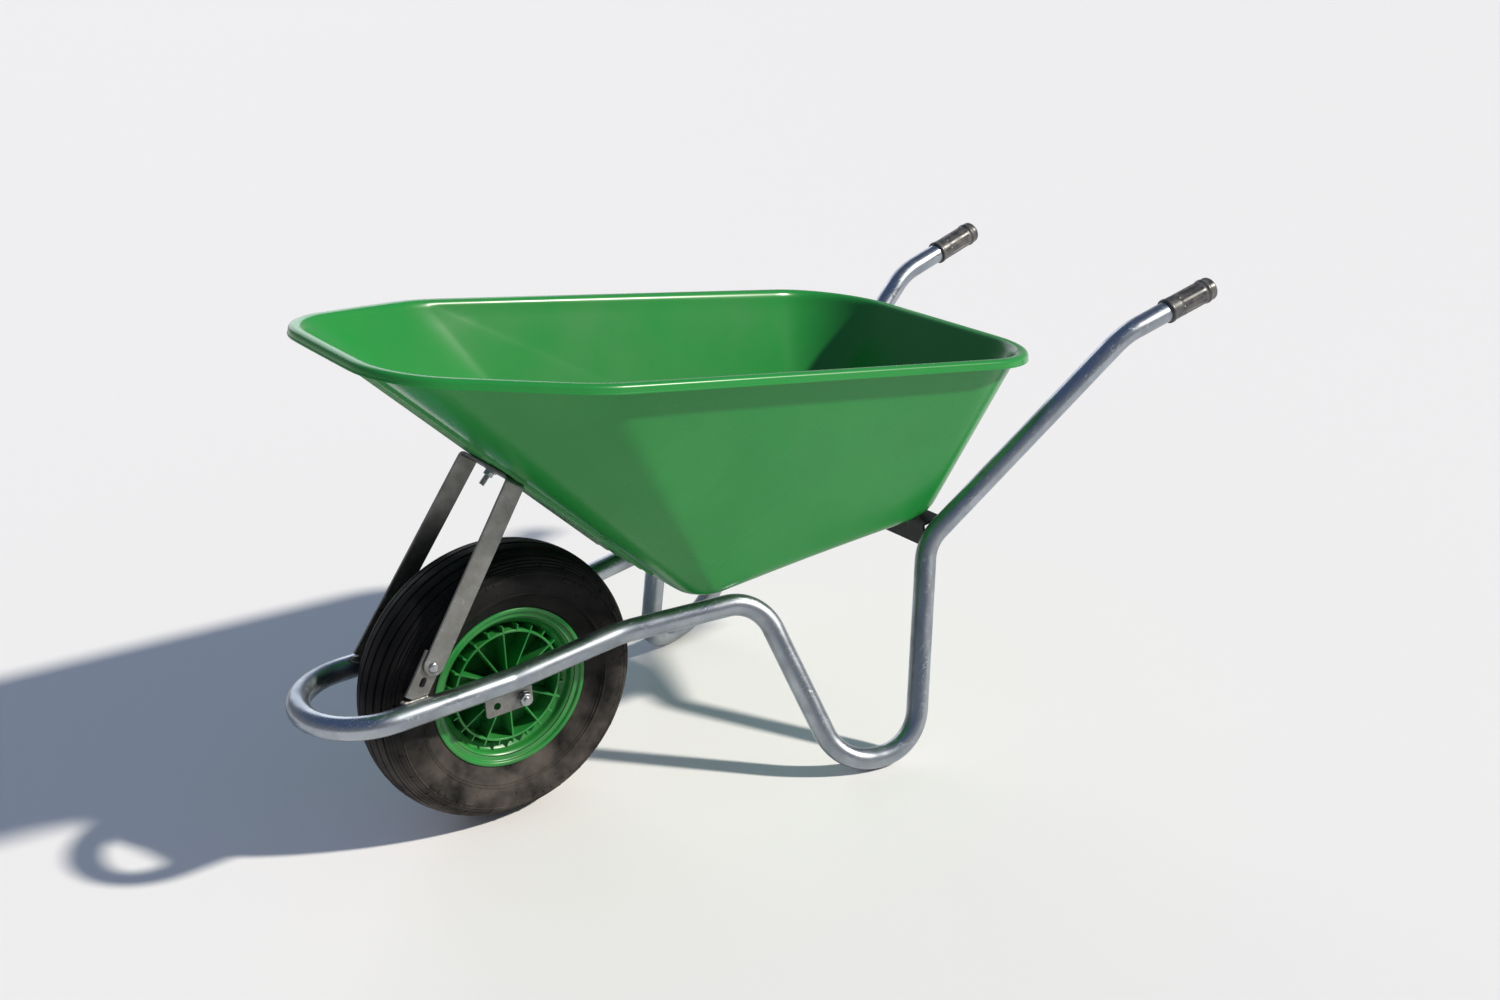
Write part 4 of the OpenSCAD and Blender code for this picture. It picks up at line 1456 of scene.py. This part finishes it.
        shells = []
        for near, rounding, around in (
            (mirrored(half), 2.4, 160),
            ([(inner, self.rib_half), (outer, self.rib_half)], 1.1, 128),
            ([(18, 2.5), (89, 2.5)], 0.8, 64),
            (hub, 1.4, 64),
        ):
            outline = rounded_outline(mirrored(near) + near[::-1], rounding)
            shells.append(lathe(outline[:, 0], outline[:, 1], around, close=True))
        spacing, outside = TURN / self.spokes, self.barrel_radius + 1
        for angle in np.arange(self.spokes) * spacing:
            shells.append(self.rib(self.hub_radius - 2, self.ring_radius, angle))
            shells += [self.rib(self.ring_radius, outside, angle + k * spacing / 2) for k in (0, 1)]
        return joined(shells)

    def rib(self, start: float, end: float, angle: float) -> Shell:
        """A radial rib with rounded edges, a little thicker at its root in the web.

        Args:
            start: its inner radius.
            end: its outer radius.
            angle: its place round the axle.

        Returns:
            The closed rib.
        """
        t = self.rib_thickness / 2
        section = rounded_outline([
            (-0.75 * t, -self.rib_half), (0.75 * t, -self.rib_half), (t, 0), (0.75 * t, self.rib_half),
            (-0.75 * t, self.rib_half), (-t, 0)], 1.0)
        out = np.array([math.cos(angle), math.sin(angle), 0])
        side = np.array([-math.sin(angle), math.cos(angle), 0])
        r = np.linspace(start, end, 4)[:, None, None]
        flat, up = section[None, :, :1], section[None, :, 1:]
        return Shell.from_grid(r * out + flat * side + up * [0, 0, 1], cap=True)

    def build(self, frame: dict) -> None:
        """Makes the tyre and the rim, and dresses the wheel's other nodes."""
        for name, shell, finish, slot, nodes in (
            ("tyre_ribbed", self.tyre(), TYRE_RUBBER, "tyre_rubber", ("tyre",)),
            ("tyre_wall_marks", self.wall_marks(), TYRE_RUBBER, "tyre_rubber", ()),
            ("rim_moulding", self.rim(), RIM_GREEN, "rim_plastic", ("rim",)),
        ):
            piece = shell.moved([0, 0, AXLE_HEIGHT], [1, 0, 0], [0, 1, 0]).to_object(name, 40)
            Barrow.finish_piece(piece, finish, "wheel", slot, nodes)
        for node in ("inner_tube", "valve_stem", "valve_cap"):
            Barrow.dress_node(frame, node, SOFT_BLACK)
        for side in ("left", "right"):
            Barrow.dress_node(frame, f"hub_bush_{side}", BUSH_NYLON)


# ---------------------------------------------------------------- studio


@dataclass
class Lamp:
    """A large far lamp whose light comes evenly from one side.

    Attributes:
        name: its name.
        towards: direction from the barrow to the lamp.
        strength: watts on each square metre that faces it.
        spread: how wide the lamp looks, degrees, which softens its shadows.
        colour: sRGB hex.
    """

    name: str
    towards: tuple[float, float, float]
    strength: float
    spread: float
    colour: str

    def build(self) -> None:
        """Makes the lamp."""
        data = bpy.data.lights.new(self.name, "SUN")
        data.energy, data.angle = self.strength, math.radians(self.spread)
        data.color = linear(self.colour)[:3]
        towards = unit(np.array(self.towards, float))
        linked(self.name, data).matrix_world = aimed(towards * 5.0, -towards, 0.0)


def aimed(place: Array, forward: Array, roll: float) -> Matrix:
    """A camera's or light's matrix: it looks along -Z with +Y up, then rolls.

    Args:
        place: its place in metres.
        forward: unit direction that it looks along.
        roll: turn about that direction, degrees.

    Returns:
        The 4 x 4 matrix.
    """
    right = unit(np.cross(forward, [0, 0, 1]))
    up = np.cross(right, forward)
    c, s = math.cos(math.radians(roll)), math.sin(math.radians(roll))
    x, y = c * right + s * up, c * up - s * right
    matrix = np.eye(4)
    matrix[:3, :4] = np.stack([x, y, -forward, place], axis=-1)
    return Matrix(matrix.tolist())


@dataclass
class Studio:
    """Pale floor, soft light and the camera.

    Attributes:
        camera_place: camera from the axle's foot, metres.
        yaw: heading of the camera, degrees from +Y towards +X.
        pitch: how far it looks down, degrees.
        roll: its roll, degrees.
        lens: focal length, mm on a 36 mm sensor.
        floor_half: half of the floor's side, metres.
        horizon: colour of the light from the horizon, sRGB hex.
        zenith: colour of the light from overhead.
        sky_strength: how strong the light from all round is.
    """

    camera_place: tuple[float, float, float] = (-0.906, -1.847, 1.282)
    yaw: float = 36.149
    pitch: float = 22.264
    roll: float = -1.881
    lens: float = 39.6
    floor_half: float = 40.0
    horizon: str = "ECECEA"
    zenith: str = "86A0D2"
    sky_strength: float = 0.4

    def build(self) -> None:
        """Makes the floor, the lights, the world and the camera."""
        self._floor()
        Lamp("key", (0.6, -0.55, 0.58), 4.3, 3.0, "FFF8EC").build()
        Lamp("back", (0.25, 0.9, 0.3), 0.6, 40.0, "F4F8FF").build()
        self._sky()
        data = bpy.data.cameras.new("camera")
        data.lens, data.sensor_width = self.lens, 36.0
        data.clip_start, data.clip_end = 0.05, 200.0
        camera = linked("camera", data)
        yaw, pitch = math.radians(self.yaw), math.radians(self.pitch)
        level = np.array([math.sin(yaw), math.cos(yaw), 0]) * math.cos(pitch)
        forward = level - [0, 0, math.sin(pitch)]
        place = np.array(self.camera_place) + [Barrow.axle_x * MM, 0, 0]
        camera.matrix_world = aimed(place, forward, self.roll)
        bpy.context.scene.camera = camera

    def _sky(self) -> None:
        """Even light from all round: neutral at the horizon, cooler and a little darker overhead."""
        world = bpy.data.worlds.new("studio_world")
        world.use_nodes = True
        nodes, background = Nodes(world.node_tree), world.node_tree.nodes["Background"]
        place = nodes.add("TexCoord").outputs["Generated"]
        share = nodes.spread(nodes.add("SeparateXYZ", {0: place}).outputs["Z"], 0.0, 0.8)
        colour = nodes.colours(share, linear(self.horizon), linear(self.zenith))
        world.node_tree.links.new(colour, background.inputs[0])
        background.inputs[1].default_value = self.sky_strength
        bpy.context.scene.world = world
        bpy.context.scene.view_settings.view_transform = "Standard"

    def _floor(self) -> None:
        """A plain pale floor, level with the ground."""
        h = self.floor_half
        mesh = bpy.data.meshes.new("floor")
        mesh.from_pydata([(-h, -h, 0), (h, -h, 0), (h, h, 0), (-h, h, 0)], [], [(0, 1, 2, 3)])
        made = bpy.data.materials.new("pale_floor")
        made.use_nodes = True
        shader = made.node_tree.nodes["Principled BSDF"]
        shader.inputs["Base Color"].default_value = linear("F0F0F0")
        shader.inputs["Roughness"].default_value = 0.9
        mesh.materials.append(made)
        floor = linked("floor", mesh)


def main() -> None:
    """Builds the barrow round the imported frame, then the studio."""
    logging.basicConfig(level=logging.INFO, format="%(name)s: %(message)s")
    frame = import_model()
    Barrow.read(frame)
    tray = Tray()
    stay = FrontStay(strap_middle=tray.strap_middle, wall_up=tray.wall_up, wall_out=tray.wall_out)
    axle = AxleGroup()
    TubeFrame().build(frame, axle, stay)
    StayGroup(stay).build(frame)
    axle.build(frame)
    tray.build()
    Grips().build()
    Wheel().build(frame)
    Studio().build()


if __name__ == "__main__":
    main()
